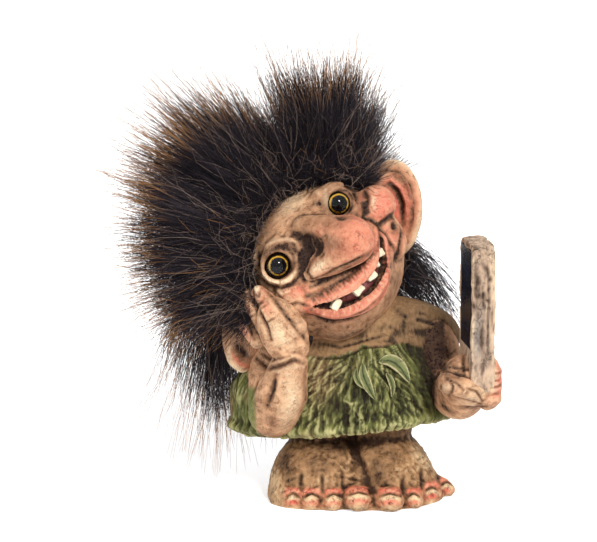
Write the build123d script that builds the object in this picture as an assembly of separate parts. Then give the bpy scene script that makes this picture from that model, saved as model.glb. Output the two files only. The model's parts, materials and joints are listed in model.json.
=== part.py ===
from build123d import *
import math
import os

# A hand-painted cast troll, about 16 cm tall with its hair. It leans its tilted head on its own right hand
# and holds a flat slab up in its left. Millimetres, +Z up, the figure faces -Y, z = 0 is the floor under its
# soles. "Right" and "left" in the pieces' names are the troll's own. Places of bodies, joints and tips are
# (x, y, z); places on the head are (right to left, forward, up) in the head's own tilted frame.

# Driving dimensions: feet
ANKLE_SEAM_HEIGHT = 28.0  # the seam between ankles and tunic, above the floor at x = 0
SEAM_LEAN = 5.5  # degrees, the seam rises towards the troll's left
RIGHT_FOOT_WIDTH = 38.0
LEFT_FOOT_WIDTH = 38.0
FOOT_LENGTH = 46.0
INSTEP_HEIGHT = 22.0
ANKLE_RADIUS = 12.5
RIGHT_ANKLE_X = -14.5
LEFT_ANKLE_X = 6.0
LEFT_FOOT_TURN = 26.0  # degrees outwards
BIG_TOE_RADIUS = 5.4
SMALL_TOE_RADIUS = 3.6

# Driving dimensions: body
BODY_WIDTH = 88.0
BODY_DEPTH = 50.0
BODY_RISE = 31.0  # from the widest section up to the top of the tunic's dome
BODY_CENTRE = (-5.0, 2.0, 34.0)
SHOULDER_WIDTH = 66.0
SHOULDER_DEPTH = 30.0
SHOULDER_RISE = 15.0
SHOULDER_CENTRE = (3.5, 5.0, 59.0)
BODY_WALL = 5.0
HEM_BAND = 1.6
HEM_HEIGHT = 6.0
LEAF_LENGTH = 13.5
LEAF_WIDTH = 5.6
LEAF_THICKNESS = 1.6

# Driving dimensions: head
HEAD_RADIUS = 30.0
HEAD_WALL = 7.0
HEAD_CENTRE = (-14.7, 2.0, 87.3)
HEAD_TILT = 44.0  # degrees, over to the troll's right
HEAD_TURN = 16.0  # degrees, towards the troll's left
EYE_RADIUS = 5.2
EYE_SPACING = 31.6
EYE_HEIGHT = 13.8
EYE_FORWARD = 18.8
IRIS_THICKNESS = 0.8
EYE_SHANK_RADIUS = 1.1
EYE_SHANK_LENGTH = 5.0
EAR_HEIGHT = 37.0
EAR_WIDTH = 22.0
EAR_DEPTH = 11.0
EAR_RIM = 3.0
EAR_ROOT_RADIUS = 5.0
RIGHT_EAR_HEIGHT = 28.0
RIGHT_EAR_WIDTH = 15.0
TOOTH_WIDTH = 4.2
TOOTH_HEIGHT = 3.8
TOOTH_DEPTH = 5.0

# Driving dimensions: arms. Points run from the shoulder round the elbow to the wrist
RIGHT_ARM_POINTS = ((-33.0, -4.0, 55.0), (-32.5, -18.0, 35.5), (-29.5, -25.0, 44.0), (-26.5, -30.0, 57.0))
RIGHT_ARM_RADII = (9.0, 9.5, 9.4, 6.4)
PALM_CENTRE = (-29.0, -30.0, 68.0)
PALM_WIDTH = 17.0
PALM_LENGTH = 27.0
PALM_THICKNESS = 11.0
PALM_LEAN = -24.0  # degrees, the hand's length leans towards the troll's right
FINGER_RADIUS = 3.5
FINGER_ROOTS = ((-25.0, -31.5, 70.0), (-33.0, -29.0, 67.0), (-38.0, -24.0, 64.0))
FINGER_TIPS = ((-37.6, -25.0, 81.0), (-42.4, -19.0, 80.6), (-45.0, -16.0, 73.0))
LEFT_ARM_POINTS = ((25.0, 3.0, 58.0), (31.5, -6.0, 41.0), (35.0, -17.0, 41.0), (37.5, -25.0, 46.0))
LEFT_ARM_RADII = (9.5, 8.8, 8.6, 8.4)
FIST_CENTRE = (38.2, -26.5, 49.0)
FIST_WIDTH = 22.0
FIST_DEPTH = 21.0
FIST_HEIGHT = 20.0
THUMB_RADIUS = 3.7
THUMB_POINTS = ((43.0, -34.0, 46.5), (36.0, -37.5, 49.0), (29.5, -35.0, 50.5))
KNUCKLE_RADIUS = 3.2

# Driving dimensions: the slab in the left hand
SLAB_THICKNESS = 8.4
SLAB_WIDTH = 24.0
SLAB_HEIGHT = 57.0
SLAB_CORNER = 5.0
SLAB_CENTRE = (40.8, -26.5, 72.5)
SLAB_TURN = 9.0  # degrees, its screen looks at the troll and a little at the viewer
SCREEN_THICKNESS = 1.2
SCREEN_MARGIN = 2.6
SCREEN_HEIGHT = 36.0
BARK_KNOT_RADIUS = 2.2

# Driving dimensions: pegs that hold the castings together
PEG_RADIUS = 2.6
ARM_PEG_RADIUS = 1.8
PEG_DEPTH = 9.0  # how far a peg goes into each casting
NECK_PEG_RADIUS = 5.0
RIGHT_ARM_PEG = ((-22.0, -3.0, 41.0), (-32.0, -20.0, 39.0))
LEFT_ARM_PEG = ((14.0, 1.0, 50.0), (29.0, -3.0, 47.0))

# Driving dimensions: the wig
CAP_THICKNESS = 1.2
PILE_BASE = 4.0  # the dense root layer of the pile
HAIRLINE_FORWARD = 11.0  # how far forward of the head's centre the hair starts
HAIR_REACH_CROWN = 74.0  # from the head's centre to the tips, on each patch
HAIR_REACH_TEMPLE = 83.0
HAIR_REACH_SIDE = 76.0
HAIR_REACH_BACK = 62.0
LOCK_RADIUS = 10.4  # a tuft's thickest place
LOCK_ROOT_RADIUS = 7.0
LOCK_TIP_RADIUS = 0.6
LOCK_STEP = 17.0  # degrees between tufts
FALL_LOCK_RADIUS = 8.0
NAPE_LOCK_RADIUS = 6.6
# The wig's patches, in degrees round the head's centre as seen from the front, from the troll's left over the top
CROWN = (62.0, 111.0)
TEMPLE = (111.0, 153.0)
SIDE = (153.0, 205.0)
FALL = (205.0, 262.0)
BACK_HALF_ANGLE = 48.0  # degrees, of the cone behind the head that the back patches lie in
BACK_UPPER = (62.0, 212.0)
FRONT_ROWS = (-14.0, 6.0, 25.0)  # degrees that each row of standing tufts leans back
BACK_ROWS = (52.0, 72.0)
BACK_COLUMNS = (80.0, 115.0, 150.0, 185.0)

# Shares: how a piece's features sit on it, as fractions of the size named beside each table
# Toes: across, forward and radius, as shares of the foot's width, its length and the toe's own radius
RIGHT_TOE_SHARES = ((-0.29, 0.374, 0.9), (-0.116, 0.446, 1.0), (0.09, 0.476, 1.06), (0.337, 0.467, 1.0))
LEFT_TOE_SHARES = ((-0.184, 0.47, 0.96), (0.068, 0.485, 1.03), (0.355, 0.363, 0.95), (0.565, 0.287, 0.83))
# Foot masses: outward, forward and up of the centre, then half width, half length and half height
FOOT_MASS_SHARES = (
    (0.0, 0.06, 0.06, 0.53, 0.44, 1.12),
    (0.0, 0.27, 0.0, 0.52, 0.26, 0.64),
    (0.0, -0.10, 0.0, 0.46, 0.36, 0.90),
    (0.28, 0.12, 0.0, 0.26, 0.32, 0.72),
)
# Face masses, of the head's radius: place, half sizes, then the turn about the forward axis in degrees
FACE_MASS_SHARES = {
    "right_brow": ((-0.47, 0.66, 0.62), (0.23, 0.14, 0.085), -20.0),
    "left_brow": ((0.56, 0.60, 0.64), (0.22, 0.15, 0.09), 22.0),
    "right_lower_lid": ((-0.50, 0.76, 0.29), (0.17, 0.12, 0.05), 4.0),
    "left_lower_lid": ((0.54, 0.74, 0.28), (0.15, 0.12, 0.05), -4.0),
    "left_cheek": ((0.87, 0.50, 0.09), (0.25, 0.25, 0.25), 0.0),
    "left_smile": ((0.74, 0.50, -0.30), (0.17, 0.22, 0.30), 20.0),
    "right_cheek": ((-0.62, 0.66, 0.04), (0.28, 0.20, 0.24), 0.0),
    "muzzle": ((0.02, 0.62, -0.28), (0.64, 0.38, 0.42), 0.0),
    "jaw": ((-0.06, 0.42, -0.50), (0.66, 0.46, 0.40), -6.0),
}
# Limbs of the face, of the head's radius: points and radii
NOSE_SHARES = (((0.02, 0.80, 0.56), (0.10, 0.98, 0.36), (0.24, 1.18, 0.14)), (0.15, 0.24, 0.30))
NOSTRIL_SHARES = (((-0.30, 0.97, 0.15), (-0.06, 1.08, 0.12), (0.24, 1.18, 0.10)), (0.13, 0.20, 0.29))
UPPER_LIP_SHARES = (
    ((-0.61, 0.79, -0.12), (-0.36, 0.95, -0.24), (-0.04, 1.05, -0.31), (0.26, 1.03, -0.29), (0.60, 0.78, -0.14)),
    (0.05, 0.08, 0.09, 0.085, 0.05),
)
LOWER_LIP_SHARES = (
    ((-0.61, 0.77, -0.19), (-0.44, 0.90, -0.42), (-0.12, 1.00, -0.57), (0.20, 0.98, -0.54), (0.60, 0.77, -0.23)),
    (0.06, 0.09, 0.105, 0.10, 0.06),
)
MOUTH_SHARES = (
    ((-0.57, 0.84, -0.17), (-0.33, 0.93, -0.34), (-0.02, 0.97, -0.43), (0.26, 0.94, -0.39), (0.56, 0.83, -0.21)),
    (0.035, 0.095, 0.13, 0.115, 0.045),
)
GUM_SHARES = (
    ((-0.36, 0.80, -0.31), (-0.10, 0.88, -0.40), (0.16, 0.87, -0.40), (0.38, 0.78, -0.29)),
    (0.06, 0.09, 0.09, 0.06),
)
# Teeth, of the head's radius: place and turn about the forward axis, then width and height as shares of a tooth
TOOTH_SHARES = (
    ((-0.33, 0.88, -0.345), -14.0, (1.00, 0.80)),
    ((-0.06, 0.97, -0.355), -4.0, (0.95, 0.90)),
    ((0.17, 0.94, -0.37), 6.0, (0.95, 0.95)),
    ((0.31, 0.88, -0.34), 14.0, (0.45, 0.60)),
    ((0.42, 0.83, -0.28), 20.0, (0.85, 0.70)),
)
# Ears, of the head's radius: the middle of each
LEFT_EAR_SHARES = (1.06, 0.02, -0.17)
RIGHT_EAR_SHARES = (-1.33, -0.03, 0.07)
# Leaves, of the body's half width and rise: across, up, and lean in degrees, then length share
LEAF_SHARES = (
    (0.17, 0.55, -62.0, 1.1),
    (0.42, 0.58, -32.0, 1.0),
    (-0.02, 0.28, -48.0, 0.75),
    (0.30, 0.72, -20.0, 0.7),
)
# Drooping tufts, of the head's radius from its centre: points, then radii as shares of the tuft's own radius
FALL_LOCK_SHARES = (
    ((-0.82, 0.20, -0.30), (-1.30, 0.14, -0.62), (-1.46, 0.08, -1.18), (-1.56, 0.08, -1.84)),
    ((-0.78, 0.40, -0.20), (-1.42, 0.34, -0.30), (-1.70, 0.30, -0.80), (-1.86, 0.26, -1.30)),
    ((-0.66, 0.44, -0.55), (-1.16, 0.48, -1.00), (-1.30, 0.50, -1.55), (-1.28, 0.42, -2.20)),
    ((-0.52, 0.72, -0.40), (-0.84, 0.95, -0.95), (-0.90, 1.02, -1.50), (-0.86, 0.96, -1.95)),
)
NAPE_LOCK_SHARES = (
    ((0.60, 0.62, 0.20), (1.10, 0.60, -0.06), (1.42, 0.54, -0.40), (1.64, 0.50, -0.78)),
    ((0.40, 0.84, -0.10), (0.86, 0.80, -0.46), (1.20, 0.72, -0.82), (1.36, 0.66, -1.14)),
    ((0.04, 0.94, -0.20), (0.30, 1.10, -0.72), (0.44, 1.14, -1.16), (0.50, 1.10, -1.60)),
    ((-0.30, 0.92, -0.20), (-0.30, 1.16, -0.76), (-0.32, 1.20, -1.30), (-0.34, 1.14, -1.78)),
)
LOCK_RADIUS_SHARES = (0.75, 1.0, 0.75, 0.10)
# Where a standing tuft is thickest, as a share of the way from root to tip
LOCK_BELLY_SHARE = 0.55
# How much shorter each tuft is than the longest, and how much the side's tufts lose from one to the next
LOCK_UNEVEN_SHARE = 0.05
SIDE_FALLOFF_SHARE = 0.06
# Bark knots up the slab's near edge, of its height
KNOT_SHARES = (0.42, 0.18, -0.02, -0.2)
# The rounded end of a limb, of its radius: how far out each ring lies, and how wide it is
LIMB_END_SHARES = ((0.92, 0.40), (0.60, 0.80))
# Fingers, of a finger's radius: at the root of the first one, less for each further one, in the middle, at the tip
FINGER_ROOT_SHARE = 1.35
FINGER_ROOT_STEP_SHARE = 0.15
FINGER_MIDDLE_SHARE = 1.1
FINGER_TIP_SHARE = 0.85
# A toe's height over the floor, length and height, of its radius
TOE_SHARES = (0.75, 1.5, 0.9)
# A knuckle's half sizes and spacing, and a bark knot's half sizes, of their own radii
KNUCKLE_SHARES = (1.3, 2.0, 1.0)
KNUCKLE_STEP_SHARE = 1.5
BARK_KNOT_SHARES = (1.0, 0.7, 1.8)

FAR = 4 * HEAD_CENTRE[2]  # larger than the figure, for half spaces


def times(shares, size):
    """A place given as shares of one size, in millimetres."""
    return tuple(share * size for share in shares)


def plus(a, b):
    """The sum of two places."""
    return tuple(p + q for p, q in zip(a, b))


def blob(half_sizes, place, turn=(0, 0, 0)):
    """An ellipsoid of the given half sizes."""
    return Pos(*place) * Rot(*turn) * scale(Sphere(1), by=half_sizes)


def limb(points, radii, ruled=False):
    """A limb through the points, smooth unless ruled, and rounded at both ends."""
    path = [Vector(*point) for point in points]
    first = (path[0] - path[1]).normalized()
    last = (path[-1] - path[-2]).normalized()
    rings = [(path[0] + first * (radii[0] * out), radii[0] * narrow) for out, narrow in LIMB_END_SHARES]
    rings += list(zip(path, radii))
    rings += [(path[-1] + last * (radii[-1] * out), radii[-1] * narrow) for out, narrow in LIMB_END_SHARES[::-1]]
    sections = []
    side = first.cross(Vector(0.31, 0.92, 0.24))
    for index, (centre, radius) in enumerate(rings):
        before = rings[max(index - 1, 0)][0]
        after = rings[min(index + 1, len(rings) - 1)][0]
        along = (after - before).normalized()
        side = (side - along * side.dot(along)).normalized()
        sections.append(Plane(origin=centre, x_dir=side, z_dir=along) * Circle(radius))
    return loft(sections, ruled=ruled)


def rod(start, end, radius):
    """A straight round peg from start to end."""
    start, end = Vector(*start), Vector(*end)
    return Plane(origin=start, z_dir=end - start) * Cylinder(
        radius, (end - start).length, align=(Align.CENTER, Align.CENTER, Align.MIN)
    )


def above_seam(lift=0):
    """The half space above the seam between the ankles and the tunic, lifted by a distance."""
    seam = Pos(0, 0, ANKLE_SEAM_HEIGHT + lift) * Rot(0, -SEAM_LEAN, 0)
    return seam * Box(FAR, FAR, FAR, align=(Align.CENTER, Align.CENTER, Align.MIN))


def below_floor():
    """The half space under the floor, which cuts the soles flat."""
    return Box(FAR, FAR, FAR, align=(Align.CENTER, Align.CENTER, Align.MAX))


HEAD_FRAME = Pos(*HEAD_CENTRE) * Rot(0, -HEAD_TILT, 0) * Rot(0, 0, HEAD_TURN)


def on_head(place):
    """The world place of a (right to left, forward, up) place on the head."""
    across, forward, up = place
    return tuple((HEAD_FRAME * Pos(across, -forward, up)).position)


def head_limb(points, radii):
    """A limb of the face, from its table of shares."""
    places = [on_head(times(point, HEAD_RADIUS)) for point in points]
    return limb(places, times(radii, HEAD_RADIUS))


def foot(ankle_x, width, turn, outward, toe_shares):
    """One broad foot with its four toes and ankle. Outward is 1 for the left foot and -1 for the right."""
    pieces = []
    for out, forward, up, half_width, half_length, half_height in FOOT_MASS_SHARES:
        half_sizes = (half_width * width, half_length * FOOT_LENGTH, half_height * INSTEP_HEIGHT)
        pieces.append(blob(half_sizes, (outward * out * width, -forward * FOOT_LENGTH, up * INSTEP_HEIGHT)))
    for number, (across, forward, size) in enumerate(toe_shares):
        is_big = number == (0 if outward > 0 else len(toe_shares) - 1)
        radius = size * (BIG_TOE_RADIUS if is_big else SMALL_TOE_RADIUS)
        lift, long, high = times(TOE_SHARES, radius)
        pieces.append(blob((radius, long, high), (across * width, -forward * FOOT_LENGTH, lift)))
    pieces.append(Cylinder(ANKLE_RADIUS, 2 * ANKLE_SEAM_HEIGHT))
    whole = pieces[0].fuse(*pieces[1:])
    return Pos(ankle_x, 0, 0) * Rot(0, 0, turn) * whole


def feet_casting():
    """Both feet in one casting, flat under the soles and cut off at the seam."""
    right = foot(RIGHT_ANKLE_X, RIGHT_FOOT_WIDTH, 0, -1, RIGHT_TOE_SHARES)
    left = foot(LEFT_ANKLE_X, LEFT_FOOT_WIDTH, LEFT_FOOT_TURN, 1, LEFT_TOE_SHARES)
    return right + left - above_seam() - below_floor()


def leg_pegs():
    """Two pegs from the ankles up into the tunic's floor."""
    pegs = []
    for x in (RIGHT_ANKLE_X, LEFT_ANKLE_X):
        seam_z = ANKLE_SEAM_HEIGHT + x * math.tan(math.radians(SEAM_LEAN))
        pegs.append(rod((x, 0, seam_z - PEG_DEPTH), (x, 0, seam_z + PEG_DEPTH), PEG_RADIUS))
    return pegs


def body_masses(inset=0):
    """The tunic's dome and the shoulders, drawn in by a wall's thickness."""
    dome = (BODY_WIDTH / 2 - inset, BODY_DEPTH / 2 - inset, BODY_RISE - inset)
    shoulders = (SHOULDER_WIDTH / 2 - inset, SHOULDER_DEPTH / 2 - inset, SHOULDER_RISE - inset)
    return blob(dome, BODY_CENTRE) + blob(shoulders, SHOULDER_CENTRE)


def tunic_hem():
    """The rounded band round the bottom of the tunic."""
    lip = (BODY_WIDTH / 2 + HEM_BAND, BODY_DEPTH / 2 + HEM_BAND, HEM_HEIGHT)
    seam_z = ANKLE_SEAM_HEIGHT + BODY_CENTRE[0] * math.tan(math.radians(SEAM_LEAN))
    return blob(lip, (BODY_CENTRE[0], BODY_CENTRE[1], seam_z + HEM_HEIGHT / 2), (0, -SEAM_LEAN, 0))


def leaf(across, up, lean, size):
    """One pointed leaf that lies on the front of the tunic."""
    half_length = size * LEAF_LENGTH / 2
    half_width = LEAF_WIDTH / 2
    arc = (half_length**2 + half_width**2) / (2 * half_width)
    disc = Cylinder(arc, LEAF_THICKNESS * 3)
    outline = (Pos(0, arc - half_width, 0) * disc) & (Pos(0, half_width - arc, 0) * disc)
    x, z = across * BODY_WIDTH / 2, up * BODY_RISE
    slope = math.sqrt(1 - across**2 - up**2)
    place = plus(BODY_CENTRE, (x, -slope * BODY_DEPTH / 2, z))
    normal = Vector(across / BODY_WIDTH, -slope / BODY_DEPTH, up / (2 * BODY_RISE))
    length_way = Vector(math.cos(math.radians(lean)), 0, math.sin(math.radians(lean)))
    return Plane(origin=place, x_dir=length_way, z_dir=normal) * outline


def chest_leaves():
    """The leaves on the chest: each follows the tunic's dome and stands off it by its thickness."""
    skin = body_masses(-LEAF_THICKNESS)
    return [leaf(*row) & skin for row in LEAF_SHARES]


def head_masses():
    """Skull, brows, cheeks, muzzle, jaw, nose and lips."""
    head = Pos(*HEAD_CENTRE) * Sphere(HEAD_RADIUS)
    for place, half_sizes, turn in FACE_MASS_SHARES.values():
        across, forward, up = times(place, HEAD_RADIUS)
        shape = blob(times(half_sizes, HEAD_RADIUS), (across, -forward, up), (0, turn, 0))
        head += HEAD_FRAME * shape
    for shares in (NOSE_SHARES, NOSTRIL_SHARES, UPPER_LIP_SHARES, LOWER_LIP_SHARES):
        head += head_limb(*shares)
    return head


def eye_places():
    """The centres of the two eyes: the troll's right one first."""
    return [on_head((side * EYE_SPACING / 2, EYE_FORWARD, EYE_HEIGHT)) for side in (-1, 1)]


def eye_forward():
    """The way that the eyes look."""
    return Vector(*on_head((0, 1, 0))) - Vector(*on_head((0, 0, 0)))


def eye(centre):
    """One eye's glass front, its painted iris behind the glass, and its wire shank."""
    look = Plane(origin=centre, z_dir=eye_forward())
    ball = look * Sphere(EYE_RADIUS)
    ahead = look * Box(FAR, FAR, FAR, align=(Align.CENTER, Align.CENTER, Align.MIN))
    behind = look * Pos(0, 0, -IRIS_THICKNESS) * Box(FAR, FAR, FAR, align=(Align.CENTER, Align.CENTER, Align.MAX))
    glass = ball & ahead
    iris = ball - ahead - behind
    shank_end = Vector(*centre) - eye_forward() * (IRIS_THICKNESS + EYE_SHANK_LENGTH)
    shank = rod(tuple(Vector(*centre) - eye_forward() * IRIS_THICKNESS), tuple(shank_end), EYE_SHANK_RADIUS)
    return glass, iris, shank


def ear(place, height, width):
    """An ear: a thick-rimmed bowl, open to the front."""
    centre = on_head(times(place, HEAD_RADIUS))
    shell = blob((width / 2, EAR_DEPTH / 2, height / 2), centre)
    hollow_centre = plus(centre, (0, -EAR_DEPTH / 2, 0))
    return shell - blob((width / 2 - EAR_RIM, EAR_DEPTH / 2, height / 2 - EAR_RIM), hollow_centre)


def ear_root(place):
    """The stem from the back of an ear to the skull."""
    centre = on_head(times(place, HEAD_RADIUS))
    toward = Vector(*HEAD_CENTRE) - Vector(*centre)
    root_end = Vector(*centre) + toward.normalized() * (toward.length - HEAD_RADIUS / 2)
    behind = plus(centre, (0, EAR_DEPTH / 4, 0))
    return limb((behind, tuple(root_end)), (EAR_ROOT_RADIUS, EAR_ROOT_RADIUS))


def teeth():
    """Five separate chips, set in the gum."""
    chips = []
    for place, turn, (width, height) in TOOTH_SHARES:
        across, forward, up = times(place, HEAD_RADIUS)
        chip = Box(width * TOOTH_WIDTH, TOOTH_DEPTH, height * TOOTH_HEIGHT)
        chips.append(HEAD_FRAME * Pos(across, -forward, up) * Rot(0, turn, 0) * chip)
    return chips


def right_arm():
    """Upper arm, bent elbow, forearm and the open hand against the cheek."""
    shape = limb(RIGHT_ARM_POINTS[1:], RIGHT_ARM_RADII[1:]) + limb(RIGHT_ARM_POINTS[:2], RIGHT_ARM_RADII[:2])
    half_sizes = (PALM_WIDTH / 2, PALM_THICKNESS / 2, PALM_LENGTH / 2)
    shape += blob(half_sizes, PALM_CENTRE, (0, PALM_LEAN, 0))
    for number, (root, tip) in enumerate(zip(FINGER_ROOTS, FINGER_TIPS)):
        middle = times(plus(root, tip), 1 / 2)
        root_share = FINGER_ROOT_SHARE - FINGER_ROOT_STEP_SHARE * number
        radii = times((root_share, FINGER_MIDDLE_SHARE, FINGER_TIP_SHARE), FINGER_RADIUS)
        shape += limb((root, middle, tip), radii)
    return shape


def left_arm():
    """Upper arm, elbow, forearm and the fist with its thumb and curled fingers."""
    shape = limb(LEFT_ARM_POINTS[:2], LEFT_ARM_RADII[:2]) + limb(LEFT_ARM_POINTS[1:], LEFT_ARM_RADII[1:])
    shape += blob((FIST_WIDTH / 2, FIST_DEPTH / 2, FIST_HEIGHT / 2), FIST_CENTRE)
    shape += limb(THUMB_POINTS, (THUMB_RADIUS, THUMB_RADIUS, THUMB_RADIUS))
    for step in (-1, 0, 1):
        up = step * KNUCKLE_STEP_SHARE * KNUCKLE_RADIUS
        knuckle = plus(FIST_CENTRE, (FIST_WIDTH / 3, -FIST_DEPTH / 4, up))
        shape += blob(times(KNUCKLE_SHARES, KNUCKLE_RADIUS), knuckle)
    return shape


def slab_frame():
    """Where the slab stands: its own -X side carries the screen."""
    return Pos(*SLAB_CENTRE) * Rot(0, 0, SLAB_TURN)


def slab():
    """The slab with bark knots on its near edge, and a shallow recess for the screen."""
    face = Plane.YZ * RectangleRounded(SLAB_WIDTH, SLAB_HEIGHT, SLAB_CORNER)
    body = extrude(face, SLAB_THICKNESS / 2, both=True)
    for share in KNOT_SHARES:
        knot = (-SLAB_THICKNESS / 3, -SLAB_WIDTH / 2, share * SLAB_HEIGHT)
        body += blob(times(BARK_KNOT_SHARES, BARK_KNOT_RADIUS), knot)
    return slab_frame() * body


def screen():
    """The glossy plate that fills the recess."""
    wide = SLAB_WIDTH - 2 * SCREEN_MARGIN
    lift = SLAB_HEIGHT / 2 - SCREEN_MARGIN - SCREEN_HEIGHT / 2
    plate = Box(SCREEN_THICKNESS, wide, SCREEN_HEIGHT, align=(Align.MIN, Align.CENTER, Align.CENTER))
    return slab_frame() * Pos(-SLAB_THICKNESS / 2, 0, lift) * plate


def behind_hairline():
    """The half space behind the hairline, in the head's own frame."""
    line = HEAD_FRAME * Pos(0, -HAIRLINE_FORWARD, 0)
    return line * Box(FAR, FAR, FAR, align=(Align.CENTER, Align.MIN, Align.CENTER))


def shell_round_skull(inner, outer):
    """A spherical layer over the skull, from one height above it to another."""
    centre = Pos(*HEAD_CENTRE)
    return centre * Sphere(HEAD_RADIUS + outer) - centre * Sphere(HEAD_RADIUS + inner)


def sector(start, end):
    """A wedge seen from the front, between two angles round the head's centre."""
    corners = [(0, 0)]
    for angle in (start, (start + end) / 2, end):
        corners.append((FAR * math.cos(math.radians(angle)), FAR * math.sin(math.radians(angle))))
    wedge = extrude(Plane.XZ * make_face(Polyline(*corners, close=True)), FAR, both=True)
    return Pos(*HEAD_CENTRE) * wedge


def back_cone(half_angle):
    """The cone behind the head's centre that the back of the wig lies in."""
    cone = Cone(0, FAR * math.tan(math.radians(half_angle)), FAR, align=(Align.CENTER, Align.CENTER, Align.MIN))
    return Pos(*HEAD_CENTRE) * Rot(-90, 0, 0) * cone


def standing_lock(angle, back, reach):
    """A spindle-shaped tuft that stands away from the head's centre."""
    upright = Vector(math.cos(math.radians(angle)), 0, math.sin(math.radians(angle)))
    way = upright * math.cos(math.radians(back)) + Vector(0, math.sin(math.radians(back)), 0)
    root = HEAD_RADIUS + CAP_THICKNESS + PILE_BASE / 2
    belly = root + (reach - root) * LOCK_BELLY_SHARE
    profile = Polyline(
        (0, root), (LOCK_ROOT_RADIUS, root), (LOCK_RADIUS, belly), (LOCK_TIP_RADIUS, reach), (0, reach), close=True
    )
    spindle = revolve(Plane.XZ * make_face(profile), Axis.Z)
    return Plane(origin=HEAD_CENTRE, z_dir=way) * spindle


def hanging_lock(points, radius):
    """A tuft that droops along its points, given as shares from the head's centre."""
    places = [plus(HEAD_CENTRE, times(point, HEAD_RADIUS)) for point in points]
    return limb(places, times(LOCK_RADIUS_SHARES, radius), ruled=True)


def tufts(angles, backs, reach, falloff=0):
    """Rows of standing tufts, the reach falling a little towards the back and from tuft to tuft."""
    made = []
    for row, back in enumerate(backs):
        for column, angle in enumerate(angles):
            uneven = 1 - LOCK_UNEVEN_SHARE * ((3 * row + 2 * column) % 3) - falloff * column
            made.append(standing_lock(angle, back, reach * uneven))
    return made


def spread(start, end):
    """Evenly spaced angles inside a sector, about one tuft apart."""
    count = max(2, round((end - start) / LOCK_STEP))
    step = (end - start) / count
    return [start + step * (number + 0.5) for number in range(count)]


def wig():
    """The knitted cap and the six patches of pile on it."""
    behind = behind_hairline()
    covered = sector(CROWN[0], FALL[1]) + back_cone(BACK_HALF_ANGLE)
    cap = shell_round_skull(0, CAP_THICKNESS) & behind & covered
    pile = shell_round_skull(CAP_THICKNESS, CAP_THICKNESS + PILE_BASE) & behind
    back = back_cone(BACK_HALF_ANGLE)
    patches = {
        "fur_crown": (CROWN, tufts(spread(*CROWN), FRONT_ROWS, HAIR_REACH_CROWN)),
        "fur_temple": (TEMPLE, tufts(spread(*TEMPLE), FRONT_ROWS, HAIR_REACH_TEMPLE)),
        "fur_side": (SIDE, tufts(spread(*SIDE), FRONT_ROWS, HAIR_REACH_SIDE, SIDE_FALLOFF_SHARE)),
        "fur_fall": (FALL, [hanging_lock(points, FALL_LOCK_RADIUS) for points in FALL_LOCK_SHARES]),
    }
    shapes = {}
    for name, (limits, locks) in patches.items():
        base = (pile & sector(*limits)) - back
        shapes[name] = base.fuse(*locks)
    upper = sector(*BACK_UPPER)
    back_locks = tufts(BACK_COLUMNS, BACK_ROWS, HAIR_REACH_BACK)
    shapes["fur_back"] = ((pile & back) & upper).fuse(*back_locks)
    nape_locks = [hanging_lock(points, NAPE_LOCK_RADIUS) for points in NAPE_LOCK_SHARES]
    shapes["fur_nape"] = ((pile & back) - upper).fuse(*nape_locks)
    return cap, shapes


def head_pieces():
    """The head casting with its eyes, gum and teeth, and the head's whole outside, which its neighbours fit."""
    outside = head_masses()
    mouth = head_limb(*MOUTH_SHARES)
    hollow = Pos(*HEAD_CENTRE) * Sphere(HEAD_RADIUS - HEAD_WALL)
    head = outside - hollow - mouth - neck_peg()
    pieces = {}
    for side, centre in zip(("right", "left"), eye_places()):
        glass, iris, shank = eye(centre)
        head = head - glass - iris - shank
        pieces[f"{side}_eye_glass"] = glass
        pieces[f"{side}_eye_iris"] = iris
        pieces[f"{side}_eye_shank"] = shank
    gum = head_limb(*GUM_SHARES) & mouth
    pieces["head_shell"] = head
    pieces["gum_plate"] = gum
    pieces["teeth"] = [minus(chip, head, gum) for chip in teeth()]
    return pieces, outside


def neck_peg():
    """The peg from the top of the body up into the head."""
    seat = plus(HEAD_CENTRE, (0, 0, -HEAD_RADIUS))
    return rod(plus(seat, (0, 0, -PEG_DEPTH)), plus(seat, (0, 0, PEG_DEPTH)), NECK_PEG_RADIUS)


def arm_pegs():
    """One peg from the body into each arm."""
    return [rod(*RIGHT_ARM_PEG, ARM_PEG_RADIUS), rod(*LEFT_ARM_PEG, ARM_PEG_RADIUS)]


def torso(head_outside, pegs):
    """The tunic casting: hollow, with a floor at the seam and a seat for the head."""
    outside = (body_masses() + tunic_hem()) & above_seam()
    hollow = body_masses(BODY_WALL) & above_seam(BODY_WALL)
    hollow = hollow - Pos(*HEAD_CENTRE) * Sphere(HEAD_RADIUS + BODY_WALL)
    whole = outside - head_outside
    casting = whole - hollow
    for peg in pegs:
        casting = casting - peg
    return whole, casting


def minus(shape, *others):
    """The shape with its neighbours cut out of it, and loose crumbs left by the cuts dropped."""
    for other in others:
        shape = shape - other
    solids = sorted(shape.solids(), key=lambda solid: solid.volume)
    return solids[-1]


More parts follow.
